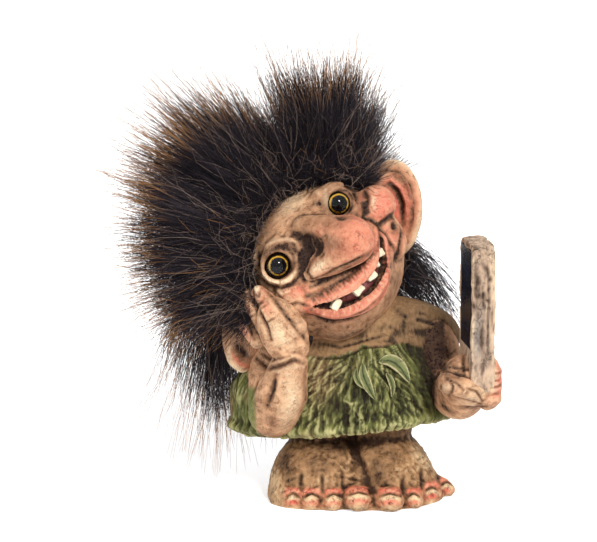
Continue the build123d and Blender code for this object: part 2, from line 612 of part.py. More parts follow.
def build():
    """Every piece of the figure, cut so that neighbours meet face to face."""
    parts, head_outside = head_pieces()
    legs, arms, neck = leg_pegs(), arm_pegs(), neck_peg()
    body, parts["torso_shell"] = torso(head_outside, [*legs, *arms, neck])
    parts["neck_peg"] = neck
    parts["leg_pegs"] = legs
    parts["arm_pegs"] = arms
    parts["feet_casting"] = minus(feet_casting(), *legs)
    parts["chest_leaves"] = [leaf - body for leaf in chest_leaves()]

    plate = screen()
    whole_slab = slab()
    parts["phone_slab"] = whole_slab - plate
    parts["phone_screen"] = plate
    right = right_arm()
    parts["right_arm"] = minus(right, head_outside, body, *arms)
    parts["left_arm"] = minus(left_arm(), body, whole_slab, *arms)

    left_ear = ear(LEFT_EAR_SHARES, EAR_HEIGHT, EAR_WIDTH) + ear_root(LEFT_EAR_SHARES)
    left_ear = minus(left_ear, head_outside)
    right_ear = ear(RIGHT_EAR_SHARES, RIGHT_EAR_HEIGHT, RIGHT_EAR_WIDTH)
    right_ear = minus(right_ear, head_outside, right)
    parts["left_ear"] = left_ear
    parts["right_ear"] = right_ear

    cap, fur = wig()
    parts["scalp_cap"] = minus(cap, head_outside, left_ear, right_ear, right, body, neck)
    under_pile = Pos(*HEAD_CENTRE) * Sphere(HEAD_RADIUS + CAP_THICKNESS)
    neighbours = {
        "fur_crown": (head_outside, left_ear),
        "fur_temple": ("fur_crown",),
        "fur_side": ("fur_temple", right, right_ear),
        "fur_back": ("fur_crown", "fur_temple", "fur_side"),
        "fur_fall": ("fur_side", "fur_back", under_pile, head_outside, right, right_ear, body),
        "fur_nape": ("fur_fall", "fur_back", under_pile, head_outside, left_ear, body),
    }
    for name, others in neighbours.items():
        cutters = [parts[other] if isinstance(other, str) else other for other in others]
        parts[name] = minus(fur[name], *cutters)
    return parts


os.makedirs("parts", exist_ok=True)
for name, shape in build().items():
    export_step(Compound(shape) if isinstance(shape, list) else shape, f"parts/{name}.step")
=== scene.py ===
"""A hand-painted cast troll with glass eyes and long-pile fur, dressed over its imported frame."""

import json
import logging
import math
import random
from dataclasses import dataclass, field
from enum import Enum
from functools import cached_property
from typing import Iterable, Sequence

import bmesh
import bpy
import numpy as np
from mathutils import Matrix, Vector, noise

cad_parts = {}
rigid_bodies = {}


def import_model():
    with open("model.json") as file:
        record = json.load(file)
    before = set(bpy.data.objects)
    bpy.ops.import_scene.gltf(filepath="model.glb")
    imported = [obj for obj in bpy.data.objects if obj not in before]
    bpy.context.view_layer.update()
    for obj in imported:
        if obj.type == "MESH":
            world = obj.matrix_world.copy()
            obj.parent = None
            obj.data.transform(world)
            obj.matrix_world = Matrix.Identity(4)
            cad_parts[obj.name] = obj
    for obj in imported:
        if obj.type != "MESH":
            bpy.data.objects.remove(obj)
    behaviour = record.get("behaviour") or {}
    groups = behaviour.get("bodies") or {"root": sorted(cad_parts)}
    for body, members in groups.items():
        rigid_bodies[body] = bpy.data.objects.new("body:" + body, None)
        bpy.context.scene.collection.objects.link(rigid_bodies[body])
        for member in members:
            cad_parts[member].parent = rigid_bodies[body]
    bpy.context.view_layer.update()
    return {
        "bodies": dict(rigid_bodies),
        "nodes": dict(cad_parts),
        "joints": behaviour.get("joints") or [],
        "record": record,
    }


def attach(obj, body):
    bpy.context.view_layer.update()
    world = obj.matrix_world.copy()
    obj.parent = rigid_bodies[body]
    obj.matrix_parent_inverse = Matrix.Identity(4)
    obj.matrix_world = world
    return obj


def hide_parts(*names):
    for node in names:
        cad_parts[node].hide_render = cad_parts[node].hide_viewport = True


log = logging.getLogger("troll")

MM = 0.001
ELEVATION = math.radians(12.0)
GRID = 0.37  # millimetres: one square of the front view's drawing grid
GRID_AXIS = 362.0  # the grid's column that stands on x = 0
GRID_FLOOR = 493.0  # the grid's row of a floor point on the axis
GRID_MIDDLE = (298.5, 271.0)
TO_VIEWER = np.array((0.0, -math.cos(ELEVATION), math.sin(ELEVATION)))

HEAD_CENTRE = Vector((-14.7, 2.0, 87.3))
HEAD_RADIUS = 30.0
HEAD_TILT = 44.0  # degrees, towards the right shoulder
HEAD_TURN = 16.0  # degrees, towards the left
HEAD_FRAME = (
    Matrix.Translation(HEAD_CENTRE)
    @ Matrix.Rotation(math.radians(-HEAD_TILT), 4, "Y")
    @ Matrix.Rotation(math.radians(HEAD_TURN), 4, "Z")
)
EYE_RADIUS = 5.2
DOME_CENTRE = (-5.0, 2.0, 34.0)  # the tunic's dome
DOME_HALF_SIZES = (44.0, 25.0, 31.0)
CUT_GAP = 1e-4  # millimetres within which a cut takes a vertex as lying on its plane
STRAND_MAP = "OFBake"  # the UV map that keeps each strand's shade
INTO_HEAD = np.array(HEAD_FRAME.inverted())

Place = Sequence[float]
Spot = tuple[float, float]  # a column and a row of the front view's grid
Line = tuple[Spot, ...]
Socket = bpy.types.NodeSocket


class Side(Enum):
    """The troll's own sides."""

    RIGHT = "right"
    LEFT = "left"


class Coat(Enum):
    """The coats of paint on a casting, by their column in its paint attribute."""

    # dark wash in pores and hollows, as on the real casting, and painted shade where shade falls
    WASH = 0
    BLUSH = 1
    # pale dry brush on ridges, and painted highlights where light falls
    LIFT = 2
    OTHER = 3  # shows the material's other ground colour


# each eye's centre, on the tilted head
EYES: dict[Side, Place] = {Side.RIGHT: (-15.8, 18.8, 13.8), Side.LEFT: (15.8, 18.8, 13.8)}


def linear(colour: str) -> tuple[float, float, float, float]:
    """Turns an sRGB hex colour to linear.

    Args:
        colour: six hex digits after a hash.

    Returns:
        Linear red, green, blue and an alpha of 1.
    """
    channels = [int(colour[i : i + 2], 16) / 255 for i in (1, 3, 5)]
    return (*(c / 12.92 if c <= 0.04045 else ((c + 0.055) / 1.055) ** 2.4 for c in channels), 1.0)


class Shading:
    """The nodes of one material or world."""

    def __init__(self, owner: bpy.types.Material | bpy.types.World) -> None:
        """Clears the owner's nodes.

        Args:
            owner: the material or world that the nodes are for.
        """
        owner.use_nodes = True
        self.owner = owner
        self.tree = owner.node_tree
        self.tree.nodes.clear()

    def add(self, kind: str, inputs: dict | None = None, **settings: object) -> bpy.types.Node:
        """Adds a node with its settings and links.

        Args:
            kind: the node's type, without the ShaderNode before it.
            inputs: a value or another node's output for each input, by name or number.
            settings: the node's own properties.

        Returns:
            The node.
        """
        made = self.tree.nodes.new(f"ShaderNode{kind}")
        for name, value in settings.items():
            setattr(made, name, value)
        for name, value in (inputs or {}).items():
            if isinstance(value, Socket):
                self.tree.links.new(value, made.inputs[name])
            else:
                made.inputs[name].default_value = value
        return made

    def ranged(self, value: Socket, low: float, high: float, first: float = 0.0, last: float = 1.0) -> Socket:
        """A value's range turned to another."""
        ends = {"From Min": low, "From Max": high, "To Min": first, "To Max": last}
        return self.add("MapRange", {"Value": value, **ends}).outputs[0]

    def maths(self, operation: str, *values: object, clamp: bool = True) -> Socket:
        """One sum, kept between 0 and 1 unless told otherwise."""
        return self.add("Math", dict(enumerate(values)), operation=operation, use_clamp=clamp).outputs[0]

    def vectors(self, operation: str, *values: object) -> bpy.types.Node:
        """One sum with vectors."""
        return self.add("VectorMath", dict(enumerate(values)), operation=operation)

    def mixed(self, share: object, under: object, over: str) -> Socket:
        """A colour over another, as strong as its share."""
        return self.add("Mix", {0: share, 6: under, 7: linear(over)}, data_type="RGBA").outputs[2]

    def place(self) -> Socket:
        """Where the shaded point is on its object."""
        return self.add("TexCoord").outputs["Object"]

    def drawn(self, stretch: Place) -> Socket:
        """Where the shaded point is, with what is drawn there stretched along x, y and z."""
        return self.add("Mapping", {"Vector": self.place(), "Scale": [1 / s for s in stretch]}).outputs[0]

    def clouds(self, place: Socket, scale: float, detail: float, roughness: float = 0.5) -> bpy.types.Node:
        """A noise texture."""
        return self.add("TexNoise", {"Vector": place, "Scale": scale, "Detail": detail, "Roughness": roughness})

    def bumped(self, height: Socket, relief: float) -> Socket:
        """The surface's direction over relief of so many millimetres."""
        return self.add("Bump", {"Height": height, "Strength": 1.0, "Distance": relief * MM}).outputs[0]

    def shown(self) -> Socket:
        """1 for a ray that shows the thing itself, straight, mirrored or through glass; 0 for one that only lights.

        Returns:
            An output of 1 or 0.
        """
        path = self.add("LightPath").outputs
        straight = self.maths("MAXIMUM", path["Is Camera Ray"], path["Is Glossy Ray"])
        return self.maths("MAXIMUM", straight, path["Is Transmission Ray"])

    def surface(self, shader: bpy.types.Node, output: str = "OutputMaterial") -> bpy.types.Material | bpy.types.World:
        """Shows a shader on the owner's surface and hands the owner back."""
        self.add(output, {"Surface": shader.outputs[0]})
        return self.owner

    def painted(self, colour: Socket, roughness: float, **more: object) -> bpy.types.Material:
        """Ends the material with one principled shader.

        Args:
            colour: its base colour.
            roughness: its roughness.
            more: its other inputs, with underscores for the spaces in their names.

        Returns:
            The material.
        """
        named = {name.replace("_", " "): value for name, value in more.items()}
        return self.surface(self.add("BsdfPrincipled", {"Base Color": colour, "Roughness": roughness, **named}))


def face(across: float, forward: float, up: float) -> Vector:
    """The place, in millimetres, of a (right to left, forward, up) place on the tilted head."""
    return HEAD_FRAME @ Vector((across, -forward, up))


def on_head(places: Iterable[Place]) -> list[Vector]:
    """The places of several (right to left, forward, up) places on the tilted head."""
    return [face(*place) for place in places]


def direction(turn: float, lean: float) -> Vector:
    """The way out at an angle of the front view, leaning back by another, both in degrees."""
    turn, lean = math.radians(turn), math.radians(lean)
    return Vector((math.cos(lean) * math.cos(turn), math.sin(lean), math.cos(lean) * math.sin(turn)))


def ramp(values: np.ndarray, start: float, end: float) -> np.ndarray:
    """How far values have gone from the start, 0, to the end, 1, which may also lie below it."""
    return np.clip((values - start) / (end - start), 0, 1)


def patch(column: np.ndarray, row: np.ndarray, middle: Spot, spread: Spot) -> np.ndarray:
    """A soft patch of the front view, 1 at its middle."""
    return np.exp(-(((column - middle[0]) / spread[0]) ** 2) - ((row - middle[1]) / spread[1]) ** 2)


def front(co: np.ndarray) -> np.ndarray:
    """Where places are in the front view.

    Args:
        co: places in millimetres.

    Returns:
        Column and row of each place on the front view's drawing grid.
    """
    height = co[:, 2] * math.cos(ELEVATION) + co[:, 1] * math.sin(ELEVATION)
    return np.stack((GRID_AXIS + co[:, 0] / GRID, GRID_FLOOR - height / GRID), axis=1)


def at(column: float, row: float, depth: float) -> Vector:
    """The place, in millimetres, of a point on the front view's grid at a given y."""
    height = (GRID_FLOOR - row) * GRID
    return Vector(((column - GRID_AXIS) * GRID, depth, (height - depth * math.sin(ELEVATION)) / math.cos(ELEVATION)))


def thread(points: Iterable[Place], radii: Sequence[float], step: float = 0.4) -> list[tuple[Vector, float]]:
    """Beads along a smooth line through the points.

    Args:
        points: places that the line goes through.
        radii: the limb's radius at each of them.
        step: the beads' spacing, as a share of their radius.

    Returns:
        Centre and radius of each bead.
    """
    line = [Vector(point) for point in points]
    beads = []
    for i in range(len(line) - 1):
        before = line[i - 1] if i else line[0] * 2 - line[1]
        after = line[i + 2] if i + 2 < len(line) else line[-1] * 2 - line[-2]
        start, end = line[i], line[i + 1]
        count = max(1, math.ceil((end - start).length / (step * (radii[i] + radii[i + 1]) / 2)))
        for k in range(count + (i == len(line) - 2)):
            t = k / count
            place = 0.5 * (
                2 * start
                + (end - before) * t
                + (2 * before - 5 * start + 4 * end - after) * t**2
                + (3 * start - before - 3 * end + after) * t**3
            )
            beads.append((place, radii[i] + (radii[i + 1] - radii[i]) * t))
    return beads


def evaluated(obj: bpy.types.Object) -> bpy.types.Mesh:
    """The object's mesh with its modifiers applied. The object itself goes away.

    Args:
        obj: a mesh or curve object.

    Returns:
        The new mesh.
    """
    graph = bpy.context.evaluated_depsgraph_get()
    mesh = bpy.data.meshes.new_from_object(obj.evaluated_get(graph))
    bpy.data.objects.remove(obj)
    return mesh


def placed(name: str, data: bpy.types.ID) -> bpy.types.Object:
    """A new object at the origin that shows a mesh or a curve, or is a lamp or a camera.

    Args:
        name: the object's name.
        data: what it shows or is.

    Returns:
        The object.
    """
    obj = bpy.data.objects.new(name, data)
    bpy.context.scene.collection.objects.link(obj)
    return obj


def scaled(bm: bmesh.types.BMesh, factor: float) -> None:
    """Scales the bmesh about the origin."""
    bmesh.ops.scale(bm, vec=(factor,) * 3, verts=bm.verts)


def meshed(name: str, bm: bmesh.types.BMesh) -> bpy.types.Mesh:
    """The bmesh as a mesh. The bmesh itself goes away.

    Args:
        name: the mesh's name.
        bm: its shape.

    Returns:
        The mesh.
    """
    mesh = bpy.data.meshes.new(name)
    bm.to_mesh(mesh)
    bm.free()
    return mesh


def moulded(name: str, bm: bmesh.types.BMesh, smooth: bool = True) -> bpy.types.Object:
    """An object from a bmesh in millimetres, its faces turned outwards.

    Args:
        name: the object's name.
        bm: its shape.
        smooth: whether its faces are shaded as one.

    Returns:
        The object.
    """
    scaled(bm, MM)
    bmesh.ops.recalc_face_normals(bm, faces=bm.faces)
    for polygon in bm.faces:
        polygon.smooth = smooth
    return placed(name, meshed(name, bm))


def cuboid(bm: bmesh.types.BMesh, sizes: Place, frame: Matrix) -> list[bmesh.types.BMEdge]:
    """Adds a cuboid with its middle at the frame's origin, and hands back its edges."""
    made = bmesh.ops.create_cube(bm, size=1.0, matrix=frame @ Matrix.Diagonal((*sizes, 1.0)))
    return list(dict.fromkeys(edge for vert in made["verts"] for edge in vert.link_edges))


def bevelled(bm: bmesh.types.BMesh, edges: list[bmesh.types.BMEdge], offset: float, segments: int) -> None:
    """Rounds edges off.

    Args:
        bm: the shape.
        edges: those to round.
        offset: millimetres from an edge to its round's end.
        segments: faces across a round.
    """
    bmesh.ops.bevel(
        bm, geom=edges, offset=offset, offset_type="OFFSET", segments=segments, profile=0.5, affect="EDGES"
    )


def sliced(bm: bmesh.types.BMesh, place: Place, outward: Place, gap: float = CUT_GAP) -> None:
    """Cuts off what lies on the outward side of a plane, and closes the cut.

    Args:
        bm: the shape.
        place: a point on the plane.
        outward: the direction of the side that goes.
        gap: how near the plane a vertex counts as on it.
    """
    everything = [*bm.verts, *bm.edges, *bm.faces]
    cut = bmesh.ops.bisect_plane(
        bm, geom=everything, plane_co=place, plane_no=outward, clear_outer=True, dist=gap
    )["geom_cut"]
    bmesh.ops.edgenet_fill(bm, edges=[item for item in cut if isinstance(item, bmesh.types.BMEdge)])


class Clay:
    """Balls and limbs pressed together, in millimetres, before they get one skin."""

    def __init__(self, name: str) -> None:
        """Starts an empty lump."""
        self.name = name
        self.bm = bmesh.new()

    def ball(self, half_sizes: Place, place: Place, turn: float = 0.0, frame: Matrix = Matrix.Identity(4)) -> None:
        """Adds an ellipsoid.

        Args:
            half_sizes: along its own x, y and z.
            place: its centre, in the frame.
            turn: degrees about the frame's y axis.
            frame: where its place is measured from.
        """
        matrix = frame @ Matrix.Translation(place) @ Matrix.Rotation(math.radians(turn), 4, "Y")
        matrix = matrix @ Matrix.Diagonal((*half_sizes, 1.0))
        bmesh.ops.create_icosphere(self.bm, subdivisions=4, radius=1.0, matrix=matrix)

    def limb(self, points: Iterable[Place], radii: Sequence[float], step: float = 0.4) -> None:
        """Adds a limb as beads along its line."""
        for centre, radius in thread(points, radii, step):
            bmesh.ops.create_icosphere(self.bm, subdivisions=3, radius=radius, matrix=Matrix.Translation(centre))

    def reshaped(self, mesh: bpy.types.Mesh) -> None:
        """Takes a mesh as the lump's new shape. The mesh itself goes away.

        Args:
            mesh: the new shape.
        """
        self.bm = bmesh.new()
        self.bm.from_mesh(mesh)
        bpy.data.meshes.remove(mesh)

    def skinned(self, voxel: float) -> None:
        """Gives the lump one closed skin, in faces of one size.

        Args:
            voxel: face size in millimetres.
        """
        scaled(self.bm, MM)
        obj = placed(self.name, meshed(self.name, self.bm))
        remesh = obj.modifiers.new("Skin", "REMESH")
        remesh.mode = "VOXEL"
        remesh.voxel_size = voxel * MM
        self.reshaped(evaluated(obj))
        scaled(self.bm, 1 / MM)

    def carved(self, cutter: "Clay") -> None:
        """Takes another lump's shape out of this one.

        Args:
            cutter: the lump whose shape goes.
        """
        body, tool = (placed(clay.name, meshed(clay.name, clay.bm)) for clay in (self, cutter))
        cut = body.modifiers.new("Cut", "BOOLEAN")
        cut.operation = "DIFFERENCE"
        cut.object = tool
        self.reshaped(evaluated(body))
        bpy.data.objects.remove(tool)

    def cast(self, voxel: float, rounds: int) -> "Casting":
        """Skins the lump finely and smooths where its masses meet.

        Args:
            voxel: face size in millimetres.
            rounds: how often it is smoothed.

        Returns:
            The casting, ready for its marks and paint.
        """
        self.skinned(voxel)
        casting = Casting(self.name, meshed(self.name, self.bm))
        casting.smooth(rounds)
        return casting


@dataclass(frozen=True)
class Limb:
    """Places along a limb's middle and its radius at each of them, in millimetres."""

    line: tuple[Place, ...]
    radii: tuple[float, ...]


@dataclass(frozen=True)
class Mark:
    """One stroke of the modelling tool or the brush, drawn on the front view's grid."""

    line: Line
    width: float  # millimetres
    depth: float = 0.0  # millimetres: sunk, or raised where it is below zero
    # dark wash and painted shade, laid by the same coat
    wash_and_shade: float = 0.0
    blush: float = 0.0
    # pale dry brush, also used as painted highlight
    lift: float = 0.0


def ring(column: float, row: float, radius: float, squash: float = 1.0) -> Line:
    """A closed line round a point of the front view's grid, squashed along its rows."""
    turns = [math.tau * k / 16 for k in range(17)]
    return tuple((column + radius * math.cos(t), row + squash * radius * math.sin(t)) for t in turns)


def creases(line: Line, count: int, reach: tuple[float, float], **paint: float) -> list[Mark]:
    """Short creases across a line, such as those of a lip.

    Args:
        line: where they lie, on the front view's grid.
        count: how many.
        reach: how far each goes to either side of the line, in grid squares.
        paint: each crease's width, depth and paint.

    Returns:
        The creases.
    """
    points = np.array(line, float)
    chance = np.random.default_rng(count)
    marks = []
    for k in range(count):
        t = (k + 0.5 + chance.uniform(-0.3, 0.3)) / count * (len(points) - 1)
        index = min(int(t), len(points) - 2)
        run = points[index + 1] - points[index]
        place = points[index] + run * (t - index)
        way = np.array((-run[1], run[0])) / np.linalg.norm(run) + run / np.linalg.norm(run) * chance.uniform(-0.3, 0.3)
        marks.append(Mark((tuple(place - way * reach[0]), tuple(place + way * reach[1])), **paint))
    return marks


class Casting:
    """A sculpted skin, with its places in an array, in millimetres."""

    def __init__(self, name: str, mesh: bpy.types.Mesh) -> None:
        """Reads the mesh's places and edges.

        Args:
            name: the piece's name.
            mesh: its skin, in millimetres.
        """
        self.name = name
        self.mesh = mesh
        co = np.empty(len(mesh.vertices) * 3, np.float32)
        mesh.vertices.foreach_get("co", co)
        self.co = co.reshape(-1, 3).astype(float)
        edges = np.empty(len(mesh.edges) * 2, np.int32)
        mesh.edges.foreach_get("vertices", edges)
        self.edges = edges.reshape(-1, 2)
        self.valence = np.maximum(np.bincount(edges, minlength=len(self.co)), 1).astype(float)
        self.coats = np.zeros((len(self.co), len(Coat)))

    def blurred(self, values: np.ndarray, rounds: int) -> np.ndarray:
        """Values, one row for each vertex, averaged with their neighbours again and again.

        Args:
            values: a row for each vertex.
            rounds: how often.

        Returns:
            The averages, a row for each vertex.
        """
        values = values.reshape(len(self.co), -1).astype(float)
        first, second = self.edges.T
        for _ in range(rounds):
            total = np.empty_like(values)
            for column in range(values.shape[1]):
                there = np.bincount(first, values[second, column], len(values))
                total[:, column] = there + np.bincount(second, values[first, column], len(values))
            values = 0.5 * values + 0.5 * total / self.valence[:, None]
        return values

    def smooth(self, rounds: int) -> None:
        """Softens the whole skin."""
        self.co = self.blurred(self.co, rounds)

    def normals(self) -> np.ndarray:
        """The skin's outward directions.

        Returns:
            A direction of length 1 for each vertex.
        """
        self.mesh.vertices.foreach_set("co", self.co.astype(np.float32).ravel())
        self.mesh.update()
        found = np.empty(len(self.co) * 3, np.float32)
        self.mesh.vertex_normals.foreach_get("vector", found)
        return found.reshape(-1, 3).astype(float)

    def raised(self, amount: np.ndarray) -> None:
        """Moves the skin outwards by an amount in millimetres at each vertex."""
        self.co += self.normals() * amount[:, None]

    def near(self, place: Place, radius: float) -> np.ndarray:
        """A soft spot: 1 at the place, falling to nothing past the radius."""
        distance = np.linalg.norm(self.co - np.array(place), axis=1) / radius
        return np.exp(-1.6 * distance**2)

    def along(self, line: Line, width: float) -> np.ndarray:
        """How strongly a drawn line touches each vertex that the front view shows.

        Args:
            line: on the front view's grid.
            width: millimetres that it spreads to either side.

        Returns:
            A strength from 0 to 1 for each vertex.
        """
        seen = front(self.co) * GRID
        points = np.array(line, float) * GRID
        best = np.full(len(seen), np.inf)
        taper = np.zeros(len(seen))
        runs = len(points) - 1
        for index in range(runs):
            start, run = points[index], points[index + 1] - points[index]
            t = np.clip(((seen - start) @ run) / (run @ run), 0, 1)
            distance = np.linalg.norm(seen - start - t[:, None] * run, axis=1)
            closer = distance < best
            best[closer] = distance[closer]
            taper[closer] = np.sin(math.pi * np.clip((index + t[closer]) / runs, 0.06, 0.94)) ** 0.5
        if line[0] == line[-1]:
            taper[:] = 1.0
        facing = np.clip((self.normals() @ TO_VIEWER) * 3, 0, 1)
        return np.exp(-((best / width) ** 2)) * taper * facing

    def lay(self, coat: Coat, amount: np.ndarray) -> None:
        """Lays a coat of paint on, where there is less of it so far."""
        self.coats[:, coat.value] = np.maximum(self.coats[:, coat.value], amount)

    def marked(self, marks: Iterable[Mark]) -> None:
        """Draws marks into the skin and its paint.

        Args:
            marks: what is drawn.
        """
        for mark in marks:
            strength = self.along(mark.line, mark.width)
            for coat, share in zip(Coat, (mark.wash_and_shade, mark.blush, mark.lift)):
                self.lay(coat, share * strength)
            if mark.depth:
                self.raised(-mark.depth * strength)

    def sprayed(self, spots: Iterable[tuple[Place, float, float]]) -> None:
        """Sprays the warm colour round places, each with a radius and a strength."""
        for place, radius, strength in spots:
            self.lay(Coat.BLUSH, strength * self.near(place, radius))

    def washed_and_shaded(self, strength: float = 1.0) -> None:
        """Leaves wash in fine hollows and painted shade in broader ones, and catches the ridges with the dry brush.

        Args:
            strength: how much of both, as a share of the usual.
        """
        fine, middle, broad = (self.hollows(rounds) for rounds in (3, 14, 60))
        wash_and_shade, blush, lift, _ = self.coats.T  # columns of the paint itself, changed in place
        # fine hollows hold the casting's real wash; middle and broad ones add painted shade, as of ambient occlusion
        wash_and_shade += strength * np.clip(6.0 * fine + 3.0 * middle + 1.0 * broad, 0, 0.9)
        lift[:] = np.clip(lift + strength * np.clip(-2.4 * fine - 0.9 * middle, 0, 0.45) - wash_and_shade, 0, 1)
        blush *= np.clip(1.15 - wash_and_shade, 0, 1)

    def rumpled(self, size: float, amount: float, stretch: Place = (1, 1, 1), seed: float = 0.0) -> np.ndarray:
        """Uneven relief from noise.

        Args:
            size: millimetres across one lump.
            amount: millimetres up and down.
            stretch: how much longer the lumps are along x, y and z.
            seed: moves the pattern.

        Returns:
            Millimetres at each vertex.
        """
        places = self.co / (size * np.array(stretch)) + seed
        return amount * np.array([noise.noise(Vector(place)) for place in places])

    def hollows(self, rounds: int) -> np.ndarray:
        """How deep each vertex lies in a hollow, in millimetres; below zero on a ridge."""
        return ((self.blurred(self.co, rounds) - self.co) * self.normals()).sum(axis=1)

    def finished(self) -> bpy.types.Object:
        """Makes the object, at the origin, with its coats of paint as one attribute.

        Returns:
            The object.
        """
        paint = self.mesh.attributes.new("Paint", "FLOAT_COLOR", "POINT")
        coats = np.clip(self.coats, 0, 1)
        coats[:, Coat.WASH.value] = self.blurred(coats[:, Coat.WASH.value], 2)[:, 0]
        paint.data.foreach_set("color", coats.astype(np.float32).ravel())
        self.mesh.vertices.foreach_set("co", (self.co * MM).astype(np.float32).ravel())
        self.mesh.polygons.foreach_set("use_smooth", np.ones(len(self.mesh.polygons), bool))
        self.mesh.update()
        return placed(self.name, self.mesh)


@dataclass(frozen=True)
class PaintedCasting:
    """Latex composite, cast in a mould, stained and dry-brushed by hand: chalky, with wash left in its pores."""

    name: str
    ground: str
    second: str  # the tone that is stippled into the ground
    # the colour of the dark wash and of the painted shade
    wash_and_shade: str
    blush: str
    # the dry brush's pale colour, also used for painted highlights
    lift: str
    other: str = "#7C8146"  # a second ground colour, for where one casting is painted as two
    pore: float = 0.9  # millimetres between pores
    patch: float = 5.0  # millimetres across the stippled patches
    crack: float = 5.0  # millimetres across the plates between fine cracks
    crack_wash: float = 0.6
    relief: float = 0.12  # millimetres
    roughness: float = 0.6
    stretch: tuple[float, float, float] = (1.0, 1.0, 1.0)  # the strokes' length along x, y and z
    pore_wash: float = 0.5

    def made(self) -> bpy.types.Material:
        """Builds the material, once.

        Returns:
            The material.
        """
        if self.name in bpy.data.materials:
            return bpy.data.materials[self.name]
        shading = Shading(bpy.data.materials.new(self.name))
        ranged, maths, mixed = shading.ranged, shading.maths, shading.mixed
        place, drawn = shading.place(), shading.drawn(self.stretch)
        pore, crack = self.pore * MM, self.crack * MM
        coats = shading.add("Attribute", attribute_name="Paint").outputs
        coat = shading.add("SeparateXYZ", {0: coats["Color"]}).outputs
        patches = shading.clouds(drawn, 1 / (self.patch * MM), 6.0, 0.62).outputs["Fac"]
        grain = shading.clouds(drawn, 0.7 / pore, 4.0, 0.7).outputs["Fac"]
        pores = shading.add("TexVoronoi", {"Vector": drawn, "Scale": 1 / pore, "Randomness": 1.0})
        pit = ranged(pores.outputs["Distance"], 0.12, 0.42, 1.0, 0.0)
        # fine cracks: the edges of wandering cells, here and there
        wandered = shading.clouds(place, 1.4 / crack, 3.0, 0.6).outputs["Color"]
        shift = shading.vectors("MULTIPLY", wandered, (crack * 0.9,) * 3).outputs[0]
        shifted = shading.vectors("ADD", place, shift).outputs[0]
        plates = shading.add("TexVoronoi", {"Vector": shifted, "Scale": 1 / crack}, feature="DISTANCE_TO_EDGE")
        line = ranged(plates.outputs["Distance"], 0.01, 0.06, 1.0, 0.0)
        line = maths("MULTIPLY", line, ranged(patches, 0.44, 0.60))

        uneven = ranged(grain, 0.3, 0.7, 0.55, 1.25)
        stipple = ranged(patches, 0.36, 0.66)
        ground = mixed(stipple, linear(self.ground), self.second)
        ground = mixed(coats["Alpha"], ground, self.other)
        warm = mixed(maths("MULTIPLY", coat["Y"], uneven), ground, self.blush)
        pale = mixed(maths("MULTIPLY", coat["Z"], uneven), warm, self.lift)
        pooled = maths("MULTIPLY", maths("MULTIPLY", pit, stipple), self.pore_wash)
        # the wash coat stands for both real wash and painted shade; from a share of 0.5 it turns solid dark
        dark_share = maths("MAXIMUM", maths("MULTIPLY", coat["X"], uneven), pooled)
        dark_share = maths("MAXIMUM", dark_share, ranged(coat["X"], 0.5, 1.0, 0.0, 0.95))
        dark_share = maths("MAXIMUM", dark_share, maths("MULTIPLY", line, self.crack_wash))
        height = maths("SUBTRACT", maths("SUBTRACT", grain, pit, clamp=False), line, clamp=False)
        return shading.painted(
            mixed(dark_share, pale, self.wash_and_shade), self.roughness, Specular_IOR_Level=0.12,
            Normal=shading.bumped(height, self.relief),
        )


SKIN = PaintedCasting(
    "cast_latex_skin", "#E0AD85", "#B2815E", "#1F1313", "#EA7864", "#F6D9B2", pore=0.7, patch=3.4, crack=2.6,
    crack_wash=0.4, relief=0.16,
)
FEET = PaintedCasting(
    "cast_latex_feet", "#BE9268", "#86603E", "#2A1912", "#EE6E5C", "#F2D2A6",
    pore=1.0, patch=2.6, crack=2.4, stretch=(1.3, 1, 1.6), relief=0.2, pore_wash=0.75,
)
TUNIC = PaintedCasting(
    "cast_latex_moss", "#7C7F44", "#50572E", "#221814", "#6E4C34", "#CBC38A", other="#B08A62",
    pore=0.8, patch=3.6, crack=3.0, stretch=(1, 1, 4), relief=0.18,
)
STONE = PaintedCasting(
    "cast_latex_bark", "#D2B296", "#96806E", "#30211B", "#7E7672", "#E6CCA8", pore=1.1, patch=3.0, crack=3.0,
    stretch=(1, 1, 2.5), relief=0.22,
)
GUM = PaintedCasting(
    "cast_latex_gum", "#8A4A44", "#6A302C", "#2A0E0C", "#93646A", "#B06A5E", pore=0.8, roughness=0.4, relief=0.06
)
IVORY = PaintedCasting(
    "cast_latex_ivory", "#EEE2C8", "#DCC8A0", "#8A6A44", "#D8B080", "#FDF8E8", pore=0.7, roughness=0.42,
    crack_wash=0.2, pore_wash=0.15, relief=0.05,
)
LEAF = PaintedCasting("cast_latex_leaf", "#6C7A44", "#4C5C36", "#1C2418", "#5A4028", "#DED2A0", pore=0.7, patch=2.5)


def dressed(obj: bpy.types.Object, material: bpy.types.Material, slot: str, *nodes: str) -> None:
    """Gives a piece its material, its body and the nodes that it stands for.

    Args:
        obj: the piece.
        material: its material.
        slot: its slot's name; not used.
        nodes: the CAD nodes that it stands for.
    """
    obj.data.materials.clear()
    obj.data.materials.append(material)
    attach(obj, "root")
    if nodes:
        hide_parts(*nodes)
    log.info("%s: %d faces", obj.name, len(obj.data.polygons))


